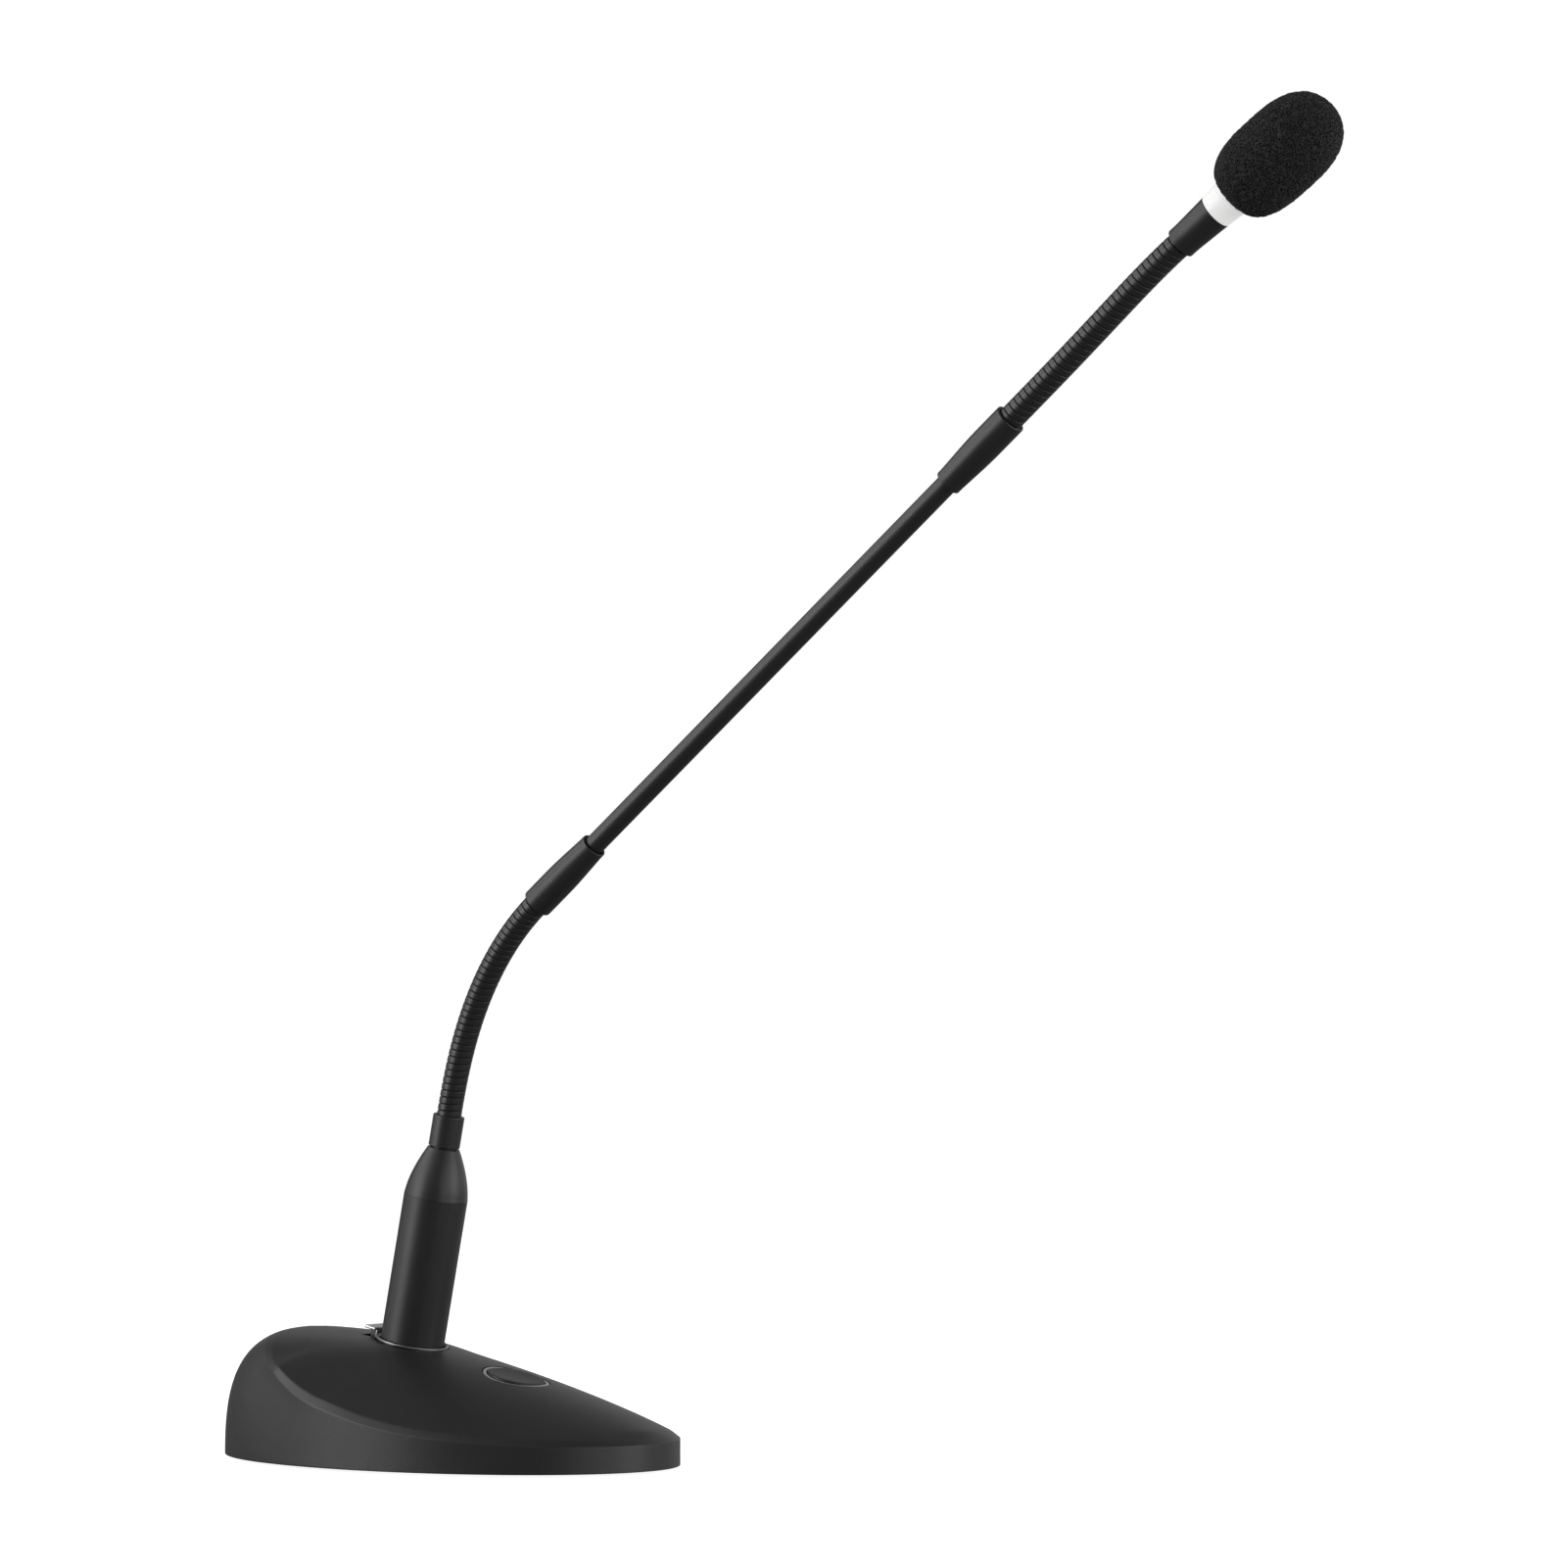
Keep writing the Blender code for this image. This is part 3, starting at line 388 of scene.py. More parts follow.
def roundCorners(corners, closed, steps=5):
    # each corner is (radius, height) or (radius, height, rounding)
    count = len(corners)
    line = []
    for i, corner in enumerate(corners):
        here = Vector(corner[:2])
        rounding = corner[2] if len(corner) > 2 else 0.0
        if not rounding or (not closed and i in (0, count - 1)):
            line.append(here)
            continue
        before = Vector(corners[i - 1][:2]) - here
        after = Vector(corners[(i + 1) % count][:2]) - here
        setback = min(rounding, before.length * 0.45, after.length * 0.45)
        support = min(setback * 1.9, before.length * 0.48), min(setback * 1.9, after.length * 0.48)
        first = here + before.normalized() * setback
        last = here + after.normalized() * setback
        if support[0] > setback * 1.1:
            line.append(here + before.normalized() * support[0])
        for k in range(steps + 1):
            t = k / steps
            line.append(first * (1 - t) ** 2 + here * (2 * t * (1 - t)) + last * t * t)
        if support[1] > setback * 1.1:
            line.append(here + after.normalized() * support[1])
    return line


def turnedMesh(name, corners, place, closed=True, sides=96, rounding=5):
    line = roundCorners(corners, closed, rounding)
    work = bmesh.new()
    rows = []
    for radius, height in line:
        if radius < 1e-7:
            rows.append([work.verts.new((0.0, 0.0, height))])
            continue
        rows.append([work.verts.new((radius * math.cos(2 * math.pi * i / sides),
                                     radius * math.sin(2 * math.pi * i / sides), height))
                     for i in range(sides)])
    pairs = list(zip(rows, rows[1:]))
    if closed:
        pairs.append((rows[-1], rows[0]))
    for low, high in pairs:
        for i in range(sides):
            j = (i + 1) % sides
            loop = [low[i % len(low)], low[j % len(low)], high[j % len(high)], high[i % len(high)]]
            corner = list(dict.fromkeys(loop))
            if len(corner) > 2:
                work.faces.new(corner)
    bmesh.ops.recalc_face_normals(work, faces=work.faces)
    bmesh.ops.transform(work, matrix=place, verts=work.verts)
    mesh = bpy.data.meshes.new(name)
    work.to_mesh(mesh)
    work.free()
    shadeSmooth(mesh)
    return mesh


def boxMesh(name, size, centre, place, rounding=0.0, steps=3):
    work = bmesh.new()
    bmesh.ops.create_cube(work, size=1.0)
    bmesh.ops.scale(work, vec=size, verts=work.verts)
    bmesh.ops.translate(work, vec=centre, verts=work.verts)
    if rounding:
        bmesh.ops.bevel(work, geom=list(work.edges), offset=rounding, segments=steps, profile=0.5,
                        affect="EDGES")
    bmesh.ops.transform(work, matrix=place, verts=work.verts)
    mesh = bpy.data.meshes.new(name)
    work.to_mesh(mesh)
    work.free()
    shadeSmooth(mesh)
    return mesh


def rodMesh(name, radius, low, high, place, sides=96):
    return turnedMesh(name, [(0.0, high), (radius, high), (radius, low), (0.0, low)], place, False, sides)


def combine(target, toolMesh, operation="DIFFERENCE"):
    tool = newObject("tool", toolMesh)
    change = target.modifiers.new("cut", "BOOLEAN")
    change.operation = operation
    change.solver = "EXACT"
    change.object = tool
    bake(target)
    bpy.data.objects.remove(tool)
    return target


def piercedDisc(name, outline, place, spots, radius, low, high, sides):
    disc = newObject(name, turnedMesh(name, outline, place, False, 96))
    for spot in spots:
        combine(disc, rodMesh("hole", radius, low, high, moved(place, spot.x, spot.y), sides))
    shadeSmooth(disc.data)
    return disc


def liftFrame(point, rise):
    # local Z points forward and up at that angle above level
    return Matrix.Translation(point) @ Matrix.Rotation(math.pi / 2 - rise, 4, "X")


def moved(place, x, y, z=0.0):
    return place @ Matrix.Translation((x, y, z))


# geometry node trees

def newTree(name, sockets):
    tree = bpy.data.node_groups.new(name, "GeometryNodeTree")
    tree.interface.new_socket("Geometry", in_out="INPUT", socket_type="NodeSocketGeometry")
    for label, kind, value in sockets:
        socket = tree.interface.new_socket(label, in_out="INPUT", socket_type="NodeSocket" + kind)
        if value is not None:
            socket.default_value = value
    tree.interface.new_socket("Geometry", in_out="OUTPUT", socket_type="NodeSocketGeometry")
    return tree, tree.nodes.new("NodeGroupInput").outputs


def endTree(tree, geometry, material):
    real = addNode(tree, "GeometryNodeRealizeInstances", {"Geometry": geometry})
    painted = addNode(tree, "GeometryNodeSetMaterial", {"Geometry": real.outputs[0], "Material": material})
    addNode(tree, "NodeGroupOutput", {"Geometry": painted.outputs[0]})
    return tree


def runTree(piece, tree, values):
    # inputs go in by identifier before the object is first evaluated
    change = piece.modifiers.new(tree.name, "NODES")
    change.node_group = tree
    for item in tree.interface.items_tree:
        if item.in_out == "INPUT" and item.name in values:
            change[item.identifier] = values[item.name]
    return bake(piece)


def gooseneckTree():
    tree, given = newTree("gooseneckRibs", [
        ("Start", "Float", 0.0), ("End", "Float", 0.01), ("Rows", "Int", 90), ("Sides", "Int", 56),
        ("Pitch", "Float", 0.002), ("Radius", "Float", 0.0036), ("Crown", "Float", 0.0001),
        ("Depth", "Float", 0.0003), ("Groove", "Float", 0.15), ("Finish", "Material", None)])
    line = addNode(tree, "GeometryNodeMeshToCurve", {"Mesh": given["Geometry"]})
    part = addNode(tree, "GeometryNodeTrimCurve", {"Curve": line.outputs[0], "Start_001": given["Start"],
                                                   "End_001": given["End"]}, mode="LENGTH")
    even = addNode(tree, "GeometryNodeResampleCurve", {"Curve": part.outputs[0], "Count": given["Rows"]},
                   mode="COUNT")
    keep = tree.nodes.new("GeometryNodeCaptureAttribute")
    keep.capture_items.new("FLOAT", "along")
    keep.capture_items.new("VECTOR", "axis")
    tree.links.new(even.outputs[0], keep.inputs["Geometry"])
    reach = addNode(tree, "GeometryNodeSplineParameter").outputs["Length"]
    tree.links.new(reach, keep.inputs["along"])
    tree.links.new(addNode(tree, "GeometryNodeInputPosition").outputs[0], keep.inputs["axis"])
    circle = addNode(tree, "GeometryNodeCurvePrimitiveCircle", {"Resolution": given["Sides"],
                                                                "Radius": given["Radius"]})
    ring = tree.nodes.new("GeometryNodeCaptureAttribute")
    ring.capture_items.new("FLOAT", "around")
    tree.links.new(circle.outputs[0], ring.inputs["Geometry"])
    tree.links.new(addNode(tree, "GeometryNodeSplineParameter").outputs["Factor"], ring.inputs["around"])
    tube = addNode(tree, "GeometryNodeCurveToMesh", {"Curve": keep.outputs["Geometry"],
                                                     "Profile Curve": ring.outputs["Geometry"],
                                                     "Fill Caps": True}).outputs[0]
    along = addMath(tree, "ADD", keep.outputs["along"], given["Start"])
    turns = addMath(tree, "SUBTRACT", addMath(tree, "DIVIDE", along, given["Pitch"]), ring.outputs["around"])
    phase = addMath(tree, "FRACT", turns)
    off = addMath(tree, "MULTIPLY", addMath(tree, "ABSOLUTE", addMath(tree, "SUBTRACT", phase, 0.5)), 2.0)
    edge = addMath(tree, "SUBTRACT", 1.0, given["Groove"])
    dip = remap(tree, off, edge, 1.0, 0.0, 1.0)
    fall = addMath(tree, "MULTIPLY", addMath(tree, "POWER", off, 2.0), given["Crown"])
    radius = addMath(tree, "SUBTRACT", addMath(tree, "SUBTRACT", given["Radius"], fall),
                     addMath(tree, "MULTIPLY", dip, given["Depth"]))
    here = addNode(tree, "GeometryNodeInputPosition").outputs[0]
    away = addVectorMath(tree, "NORMALIZE", addVectorMath(tree, "SUBTRACT", here, keep.outputs["axis"]))
    out = addNode(tree, "ShaderNodeVectorMath", {0: away, "Scale": radius}, operation="SCALE").outputs[0]
    spot = addVectorMath(tree, "ADD", keep.outputs["axis"], out)
    marked = addNode(tree, "GeometryNodeStoreNamedAttribute", {"Geometry": tube, "Name": "groove", "Value": dip},
                     data_type="FLOAT", domain="POINT").outputs[0]
    shaped = addNode(tree, "GeometryNodeSetPosition", {"Geometry": marked, "Position": spot})
    smooth = addNode(tree, "GeometryNodeSetShadeSmooth", {"Geometry": shaped.outputs[0]})
    return endTree(tree, smooth.outputs[0], given["Finish"])


def foamTree():
    tree, given = newTree("openCellFoam", [
        ("Cell Size", "Float", 0.0008), ("Pit Depth", "Float", 0.0003), ("Strut", "Float", 0.16),
        ("Lump", "Float", 0.0002), ("Lump Size", "Float", 0.003), ("Finish", "Material", None)])
    here = addNode(tree, "GeometryNodeInputPosition").outputs[0]
    normal = addNode(tree, "GeometryNodeInputNormal").outputs[0]
    cells = addNode(tree, "ShaderNodeTexVoronoi",
                    {"Vector": here, "Scale": addMath(tree, "DIVIDE", 1.0, given["Cell Size"])},
                    feature="DISTANCE_TO_EDGE").outputs["Distance"]
    deep = addMath(tree, "ADD", given["Strut"], foamSettings["strutFade"])
    pit = remap(tree, cells, given["Strut"], deep, 0.0, 1.0)
    lumps = addNode(tree, "ShaderNodeTexNoise",
                    {"Vector": here, "Scale": addMath(tree, "DIVIDE", 1.0, given["Lump Size"]),
                     "Detail": 2.0}).outputs[0]
    rise = addMath(tree, "MULTIPLY", addMath(tree, "SUBTRACT", lumps, 0.5), given["Lump"])
    depth = addMath(tree, "SUBTRACT", rise, addMath(tree, "MULTIPLY", pit, given["Pit Depth"]))
    push = addNode(tree, "ShaderNodeVectorMath", {0: normal, "Scale": depth}, operation="SCALE").outputs[0]
    shaped = addNode(tree, "GeometryNodeSetPosition", {"Geometry": given["Geometry"], "Offset": push})
    smooth = addNode(tree, "GeometryNodeSetShadeSmooth", {"Geometry": shaped.outputs[0]})
    return endTree(tree, smooth.outputs[0], given["Finish"])


def repeatTree():
    tree, given = newTree("repeatOnPoints", [
        ("Piece", "Object", None), ("Turn", "Vector", None), ("Finish", "Material", None)])
    shape = addNode(tree, "GeometryNodeObjectInfo", {"Object": given["Piece"]}).outputs["Geometry"]
    copies = addNode(tree, "GeometryNodeInstanceOnPoints", {"Points": given["Geometry"], "Instance": shape,
                                                            "Rotation": given["Turn"]})
    return endTree(tree, copies.outputs[0], given["Finish"])


def perforateTree():
    tree, given = newTree("perforatedCap", [
        ("Holes", "Object", None), ("Hole Radius", "Float", 0.0004), ("Hole Depth", "Float", 0.01),
        ("Sides", "Int", 12), ("Turn", "Vector", None), ("Finish", "Material", None)])
    points = addNode(tree, "GeometryNodeObjectInfo", {"Object": given["Holes"]}).outputs["Geometry"]
    drill = addNode(tree, "GeometryNodeMeshCylinder", {"Vertices": given["Sides"], "Radius": given["Hole Radius"],
                                                       "Depth": given["Hole Depth"]}).outputs["Mesh"]
    drills = addNode(tree, "GeometryNodeInstanceOnPoints", {"Points": points, "Instance": drill,
                                                            "Rotation": given["Turn"]})
    pierced = addNode(tree, "GeometryNodeMeshBoolean", {"Mesh 1": given["Geometry"], "Mesh 2": drills.outputs[0]},
                      operation="DIFFERENCE", solver="EXACT")
    return endTree(tree, pierced.outputs["Mesh"], given["Finish"])


ribTree, skinTree, copyTree, holeTree = gooseneckTree(), foamTree(), repeatTree(), perforateTree()


def pointsObject(name, places):
    mesh = bpy.data.meshes.new(name)
    mesh.from_pydata([tuple(place) for place in places], [], [])
    return newObject(name, mesh)


def repeatPiece(name, patternMesh, places, turn, finishName):
    # one mesh holding a copy of the pattern at every place
    pattern = newObject(name + "Pattern", patternMesh)
    piece = pointsObject(name, places)
    runTree(piece, copyTree, {"Piece": pattern, "Turn": turn, "Finish": finish[finishName]})
    bpy.data.objects.remove(pattern)
    shadeSmooth(piece.data)
    return piece


print("node trees made")


# base shell

shell = {
    "halfLength": 76.15 * mm, "halfWidth": 49.1 * mm, "wall": 2.4 * mm, "bottom": 0.9 * mm,
    "crownFront": 10.1 * mm, "crownRise": 55.7 * mm, "crownFall": 24.5 * mm, "crownPower": 1.94,
    "creaseFront": 8.6 * mm, "creaseRise": 10.8 * mm, "creaseSwoop": 11.5 * mm, "creaseLength": 110.0 * mm,
    "chamferRise": 1.5 * mm, "chamferSwoop": 1.2 * mm, "topInset": 0.968,
    "rearPlan": 6.1, "rearRise": 2.67, "rearFrom": 0.0, "rearTo": 40.8,
    "edgeLift": 69.4, "edgeFall": 60.8, "edgePower": 1.27, "edgeLeast": 20.0, "bandLift": 4.1,
    "gain": 4.5, "gainFrom": 58.0, "gainTo": 90.0,
    "creaseSwell": 0.45 * mm, "swellPower": 8, "rearPower": 2.4, "lipTuck": 0.8 * mm,
    "sides": 320, "wallRows": 24, "topRows": 34, "edgeRound": 0.55 * mm,
}


def crownHeight(y):
    share = (y + shell["halfLength"]) / (2 * shell["halfLength"])
    return shell["crownFront"] + shell["crownRise"] * share - shell["crownFall"] * share ** 2


def crownSlope(y):
    share = (y + shell["halfLength"]) / (2 * shell["halfLength"])
    return math.atan((shell["crownRise"] - 2 * shell["crownFall"] * share) / (2 * shell["halfLength"]))


def creaseShare(y):
    return min(max((y + shell["halfLength"]) / shell["creaseLength"], 0.0), 1.0)


def creaseHeight(y):
    share = creaseShare(y)
    return shell["creaseFront"] + shell["creaseRise"] * share ** 2 + shell["creaseSwoop"] * share ** 5


def edgeHeight(y):
    return creaseHeight(y) + shell["chamferRise"] + shell["chamferSwoop"] * creaseShare(y)


def topHeight(x, y):
    half = 1.0 - (y / (shell["halfLength"] * shell["topInset"])) ** 2
    side = shell["halfWidth"] * shell["topInset"] * math.sqrt(max(half, 1e-6))
    drop = min(abs(x) / side, 1.0) ** shell["crownPower"]
    peak = crownHeight(y)
    return peak - (peak - edgeHeight(y / shell["topInset"])) * drop


def rearTurn(turn):
    # degrees round from the shell's side towards its rear
    return math.degrees(math.asin(math.sin(turn)))


def rearShare(turn):
    share = (rearTurn(turn) - shell["rearFrom"]) / (shell["rearTo"] - shell["rearFrom"])
    share = min(max(share, 0.0), 1.0)
    return share * share * (3.0 - 2.0 * share)


def edgeLift(turn):
    # degrees up the rear hump at which the band passes
    share = (rearTurn(turn) - shell["gainFrom"]) / (shell["gainTo"] - shell["gainFrom"])
    gain = min(max(share, 0.0), 1.0) ** 2 * shell["gain"]
    fall = shell["edgeFall"] * (1.0 - math.sin(turn)) ** shell["edgePower"]
    return max(shell["edgeLift"] - fall, shell["edgeLeast"]) + gain


def humpPoint(turn, lift):
    lift = math.radians(lift)
    scale = math.cos(lift) ** (2.0 / shell["rearPlan"])
    rise = math.sin(lift) ** (2.0 / shell["rearRise"])
    x = shell["halfWidth"] * math.cos(turn) * scale
    y = shell["halfLength"] * math.sin(turn) * scale
    return Vector((x, y, shell["bottom"] + (crownHeight(y) - shell["bottom"]) * rise))


def shellPoint(kind, share, turn):
    # the crowned front form, melted into the rounded hump at the rear
    inset = {"wall": 1.0, "edge": shell["topInset"]}.get(kind, shell["topInset"] * share)
    x = shell["halfWidth"] * math.cos(turn) * inset
    y = shell["halfLength"] * math.sin(turn) * inset
    lift = edgeLift(turn)
    if kind == "wall":
        front = Vector((x, y, shell["bottom"] + (creaseHeight(y) - shell["bottom"]) * share))
        rear = humpPoint(turn, (lift - shell["bandLift"]) * share)
        away = Vector((rear.x / shell["halfWidth"], rear.y / shell["halfLength"], 0.5)).normalized()
        rear += away * shell["creaseSwell"] * share ** shell["swellPower"]
    elif kind == "edge":
        front = Vector((x, y, edgeHeight(y / shell["topInset"])))
        rear = humpPoint(turn, lift)
    else:
        front = Vector((x, y, topHeight(x, y)))
        rim = humpPoint(turn, lift)
        drop = (crownHeight(rim.y) - rim.z) * share ** shell["rearPower"]
        rear = Vector((rim.x * share, rim.y * share, crownHeight(rim.y * share) - drop))
    return front.lerp(rear, rearShare(turn))


def shellLine(turn):
    rows = [("wall", i / shell["wallRows"]) for i in range(shell["wallRows"] + 1)]
    rows.append(("edge", 1.0))
    rows += [("top", 1.0 - i / (shell["topRows"] + 1)) for i in range(1, shell["topRows"] + 1)]
    return [shellPoint(kind, share, turn) for kind, share in rows]


def softenCorner(before, corner, after, setback, steps=5):
    toBefore, toAfter = before - corner, after - corner
    reach = min(setback, toBefore.length * 0.45, toAfter.length * 0.45)
    first = corner + toBefore.normalized() * reach
    last = corner + toAfter.normalized() * reach
    return [first * (1 - k / steps) ** 2 + corner * (2 * (k / steps) * (1 - k / steps)) + last * (k / steps) ** 2
            for k in range(steps + 1)]


def outerColumn(line):
    crease = shell["wallRows"]
    lip = line[0] * 1.0
    lip.x *= 1.0 - shell["lipTuck"] / shell["halfWidth"]
    lip.y *= 1.0 - shell["lipTuck"] / shell["halfLength"]
    column = [lip]
    for i, point in enumerate(line):
        before = line[i - 1] if i else lip
        if i == 0 or i in (crease, crease + 1):
            column += softenCorner(before, point, line[i + 1], shell["edgeRound"])
        else:
            column.append(point)
    return column


def innerColumn(line):
    column = []
    for i, point in enumerate(line):
        drop = min(i / shell["wallRows"], 1.0) * shell["wall"]
        column.append(Vector((point.x * (1.0 - shell["wall"] / shell["halfWidth"]),
                              point.y * (1.0 - shell["wall"] / shell["halfLength"]), point.z - drop)))
    return column


def shellMesh():
    work = bmesh.new()
    sides = shell["sides"]
    lines = [shellLine(2 * math.pi * i / sides) for i in range(sides)]
    outer = [[work.verts.new(point) for point in outerColumn(line)] for line in lines]
    inner = [[work.verts.new(point) for point in innerColumn(line)] for line in lines]
    peak = work.verts.new((0.0, 0.0, crownHeight(0.0)))
    innerPeak = work.verts.new((0.0, 0.0, crownHeight(0.0) - shell["wall"]))
    for i in range(sides):
        j = (i + 1) % sides
        for columns, top in ((outer, peak), (inner, innerPeak)):
            a, b = columns[i], columns[j]
            for k in range(len(a) - 1):
                work.faces.new((a[k], b[k], b[k + 1], a[k + 1]))
            work.faces.new((a[-1], b[-1], top))
        work.faces.new((outer[i][0], outer[j][0], inner[j][0], inner[i][0]))
    bmesh.ops.recalc_face_normals(work, faces=work.faces)
    mesh = bpy.data.meshes.new("baseShell")
    work.to_mesh(mesh)
    work.free()
    return mesh


socket = {
    "place": Vector((0.0, 14.3 * mm, 34.4 * mm)), "lean": 11.5,
    "rim": 10.9 * mm, "bore": 9.8 * mm, "depth": 14.7 * mm, "contactCircle": 4.6 * mm,
}
tab = {
    "size": (8.6 * mm, 4.4 * mm), "reach": 13.4 * mm, "top": 2.2 * mm, "foot": -8.5 * mm, "plate": 1.0 * mm,
    "lip": (1.5 * mm, 0.55 * mm, 3.6 * mm), "lipSide": -2.3 * mm, "gripStep": 1.0 * mm,
}
button = {"y": -24.8 * mm, "radius": 8.6 * mm, "bezel": 9.9 * mm, "depth": 3.4 * mm}
output = {
    "face": 69.2 * mm, "height": 15.5 * mm, "radius": 10.9 * mm, "flange": 12.0 * mm, "bore": 9.8 * mm,
    "depth": 15.0 * mm, "pinCircle": 5.9 * mm, "pin": 1.2 * mm, "boss": 13.3 * mm,
}
post = {"x": 33.5 * mm, "y": 33.0 * mm, "radius": 3.4 * mm, "bore": 1.7 * mm, "foot": 3.7 * mm, "drill": 10.0 * mm}

level = Matrix.Identity(4)
stemFrame = liftFrame(socket["place"], math.radians(90.0 - socket["lean"]))
buttonFrame = (Matrix.Translation((0.0, button["y"], crownHeight(button["y"])))
               @ Matrix.Rotation(crownSlope(button["y"]), 4, "X"))
outputFrame = Matrix.Translation((0.0, output["face"], output["height"])) @ Matrix.Rotation(-math.pi / 2, 4, "X")
postPlaces = [(sx * post["x"], sy * post["y"]) for sy in (-1, 1) for sx in (-1, 1)]


def addPosts(body):
    # screw posts that end inside the wall above them
    skin = BVHTree.FromPolygons([corner.co for corner in body.data.vertices],
                                [face.vertices for face in body.data.polygons])
    radius, down = post["radius"], Vector((0.0, 0.0, -1.0))
    for x, y in postPlaces:
        around = [Vector((x + radius * math.cos(k), y + radius * math.sin(k), 1.0)) for k in range(7)]
        top = min(skin.ray_cast(spot, down)[0].z for spot in around) - shell["wall"] / 2
        combine(body, rodMesh("post", radius, post["foot"], top, moved(level, x, y), 32), "UNION")
        combine(body, rodMesh("hole", post["bore"], 0.0, post["drill"], moved(level, x, y), 24))


def makeShell():
    body = newObject("baseShell", shellMesh())
    boss = rodMesh("boss", output["boss"], -4.2 * mm, 0.3 * mm, outputFrame)
    combine(body, boss, "UNION")
    addPosts(body)
    combine(body, rodMesh("well", socket["rim"] + gap, -24.0 * mm, 12.0 * mm, stemFrame, 128))
    slot = boxMesh("slot", (tab["size"][0] + 2 * gap, tab["size"][1] + 2 * gap, 24.0 * mm),
                   (0.0, tab["reach"], 0.0), stemFrame)
    combine(body, slot)
    combine(body, rodMesh("well", button["bezel"] + gap, -9.0 * mm, 9.0 * mm, buttonFrame, 128))
    # the seat and the hole of the rear opening are one tool, so that no skin is left between them
    hole, seat, out, inward = output["radius"] + gap, output["flange"] + gap, 20.0 * mm, -15.3 * mm
    outline = [(0.0, out), (seat, out), (seat, 0.0), (hole, 0.0), (hole, inward), (0.0, inward)]
    combine(body, turnedMesh("opening", outline, outputFrame, False, 90))
    shadeSmooth(body.data, 26.0)
    return body


addPiece("baseShell", makeShell(), "shellSatin", "base", ["base_shell"])
print("base shell built")


# foot, plate, screws

foot = {"half": (33.0 * mm, 58.0 * mm), "thick": 1.6 * mm, "tread": 0.4 * mm, "studs": 4.2 * mm,
        "studRadius": 1.2 * mm, "studEdge": 3.0 * mm, "sides": 128}
plate = {"half": (46.1 * mm, 73.15 * mm), "low": 1.9 * mm, "thick": 1.5 * mm}
screw = {"shank": 1.4 * mm, "head": 2.6 * mm, "top": 1.6 * mm, "low": 0.5 * mm, "long": 9.0 * mm}


hexRow = 0.866      # row spacing over step in a triangular grid


def ovalMesh(name, half, corners, sides=128):
    # corners are (share of the plan, height, rounding) down the outer side
    mesh = turnedMesh(name, corners, level, False, sides)
    for vertex in mesh.vertices:
        x, y = vertex.co.x, vertex.co.y
        reach = math.hypot(x, y)
        if reach > 1e-9:
            inset = 1.0 - reach
            vertex.co.x = x / reach * max(half[0] - inset, 0.0)
            vertex.co.y = y / reach * max(half[1] - inset, 0.0)
    return mesh


def makeFoot():
    low, high = foot["tread"], foot["thick"]
    outline = [(0.0, high), (1.0, high, 0.3 * mm), (1.0, low, 0.4 * mm), (1.0 - 1.6 * mm, low, 0.0), (0.0, low)]
    pad = newObject("footPad", ovalMesh("footPad", foot["half"], outline, foot["sides"]))
    places = []
    step = foot["studs"]
    rows = int(foot["half"][1] / step / hexRow) + 1
    for j in range(-rows, rows + 1):
        for i in range(-12, 13):
            x = (i + 0.5 * (j % 2)) * step
            y = j * step * hexRow
            across, along = (half - foot["studEdge"] for half in foot["half"])
            if (x / across) ** 2 + (y / along) ** 2 < 1.0:
                places.append((x, y, 0.0))
    radius = foot["studRadius"]
    outline = [(0.0, low + 0.1 * mm), (radius, low + 0.1 * mm), (radius, 0.0, 0.15 * mm), (0.0, 0.0)]
    studs = repeatPiece("footStuds", turnedMesh("stud", outline, level, False, 16, 2), places,
                        (0.0, 0.0, 0.0), "footRubber")
    addPiece("footPad", pad, "footRubber", "base", ["foot_pad"])
    addPiece("footStuds", studs, "footRubber", "base")


def makePlate():
    low, high = plate["low"], plate["low"] + plate["thick"]
    outline = [(0.0, high), (1.0, high, 0.25 * mm), (1.0, low, 0.25 * mm), (0.0, low)]
    made = newObject("bottomPlate", ovalMesh("bottomPlate", plate["half"], outline, 160))
    for x, y in postPlaces:
        combine(made, rodMesh("hole", screw["shank"] + gap, 0.0, 6.0 * mm, moved(level, x, y), 24))
    shadeSmooth(made.data)
    addPiece("bottomPlate", made, "zincSteel", "base", ["bottom_plate"])


def makeScrews():
    top, low, shank, wide, long = screw["top"], screw["low"], screw["shank"], screw["head"], screw["long"]
    outline = [(0.0, long), (shank * 0.5, long), (shank, long - 1.5 * mm), (shank, top), (wide, top, 0.15 * mm),
               (wide, top - 0.6 * mm, 0.4 * mm), (wide * 0.7, low, 0.3 * mm), (0.0, low)]
    pattern = newObject("screwPattern", turnedMesh("screwPattern", outline, level, False, 40, 3))
    for turn in (0.0, math.pi / 2):
        blade = boxMesh("blade", (2.6 * mm, 0.55 * mm, 1.2 * mm), (0.0, 0.0, low), Matrix.Rotation(turn, 4, "Z"))
        combine(pattern, blade)
    places = [(x, y, 0.0) for x, y in postPlaces]
    mesh = pattern.data.copy()
    bpy.data.objects.remove(pattern)
    screws = repeatPiece("plateScrews", mesh, places, (0.0, 0.0, 0.0), "zincSteel")
    addPiece("plateScrews", screws, "zincSteel", "base", numbered("plate_screw", 4))


makeFoot()
makePlate()
makeScrews()
print("foot, plate and screws built")


# socket, release tab

def pinPlaces(place, circle, flip=1.0):
    angles = [math.pi, 0.0, -math.pi / 2]
    return [place @ Vector((circle * math.cos(a), flip * circle * math.sin(a), 0.0)) for a in angles]


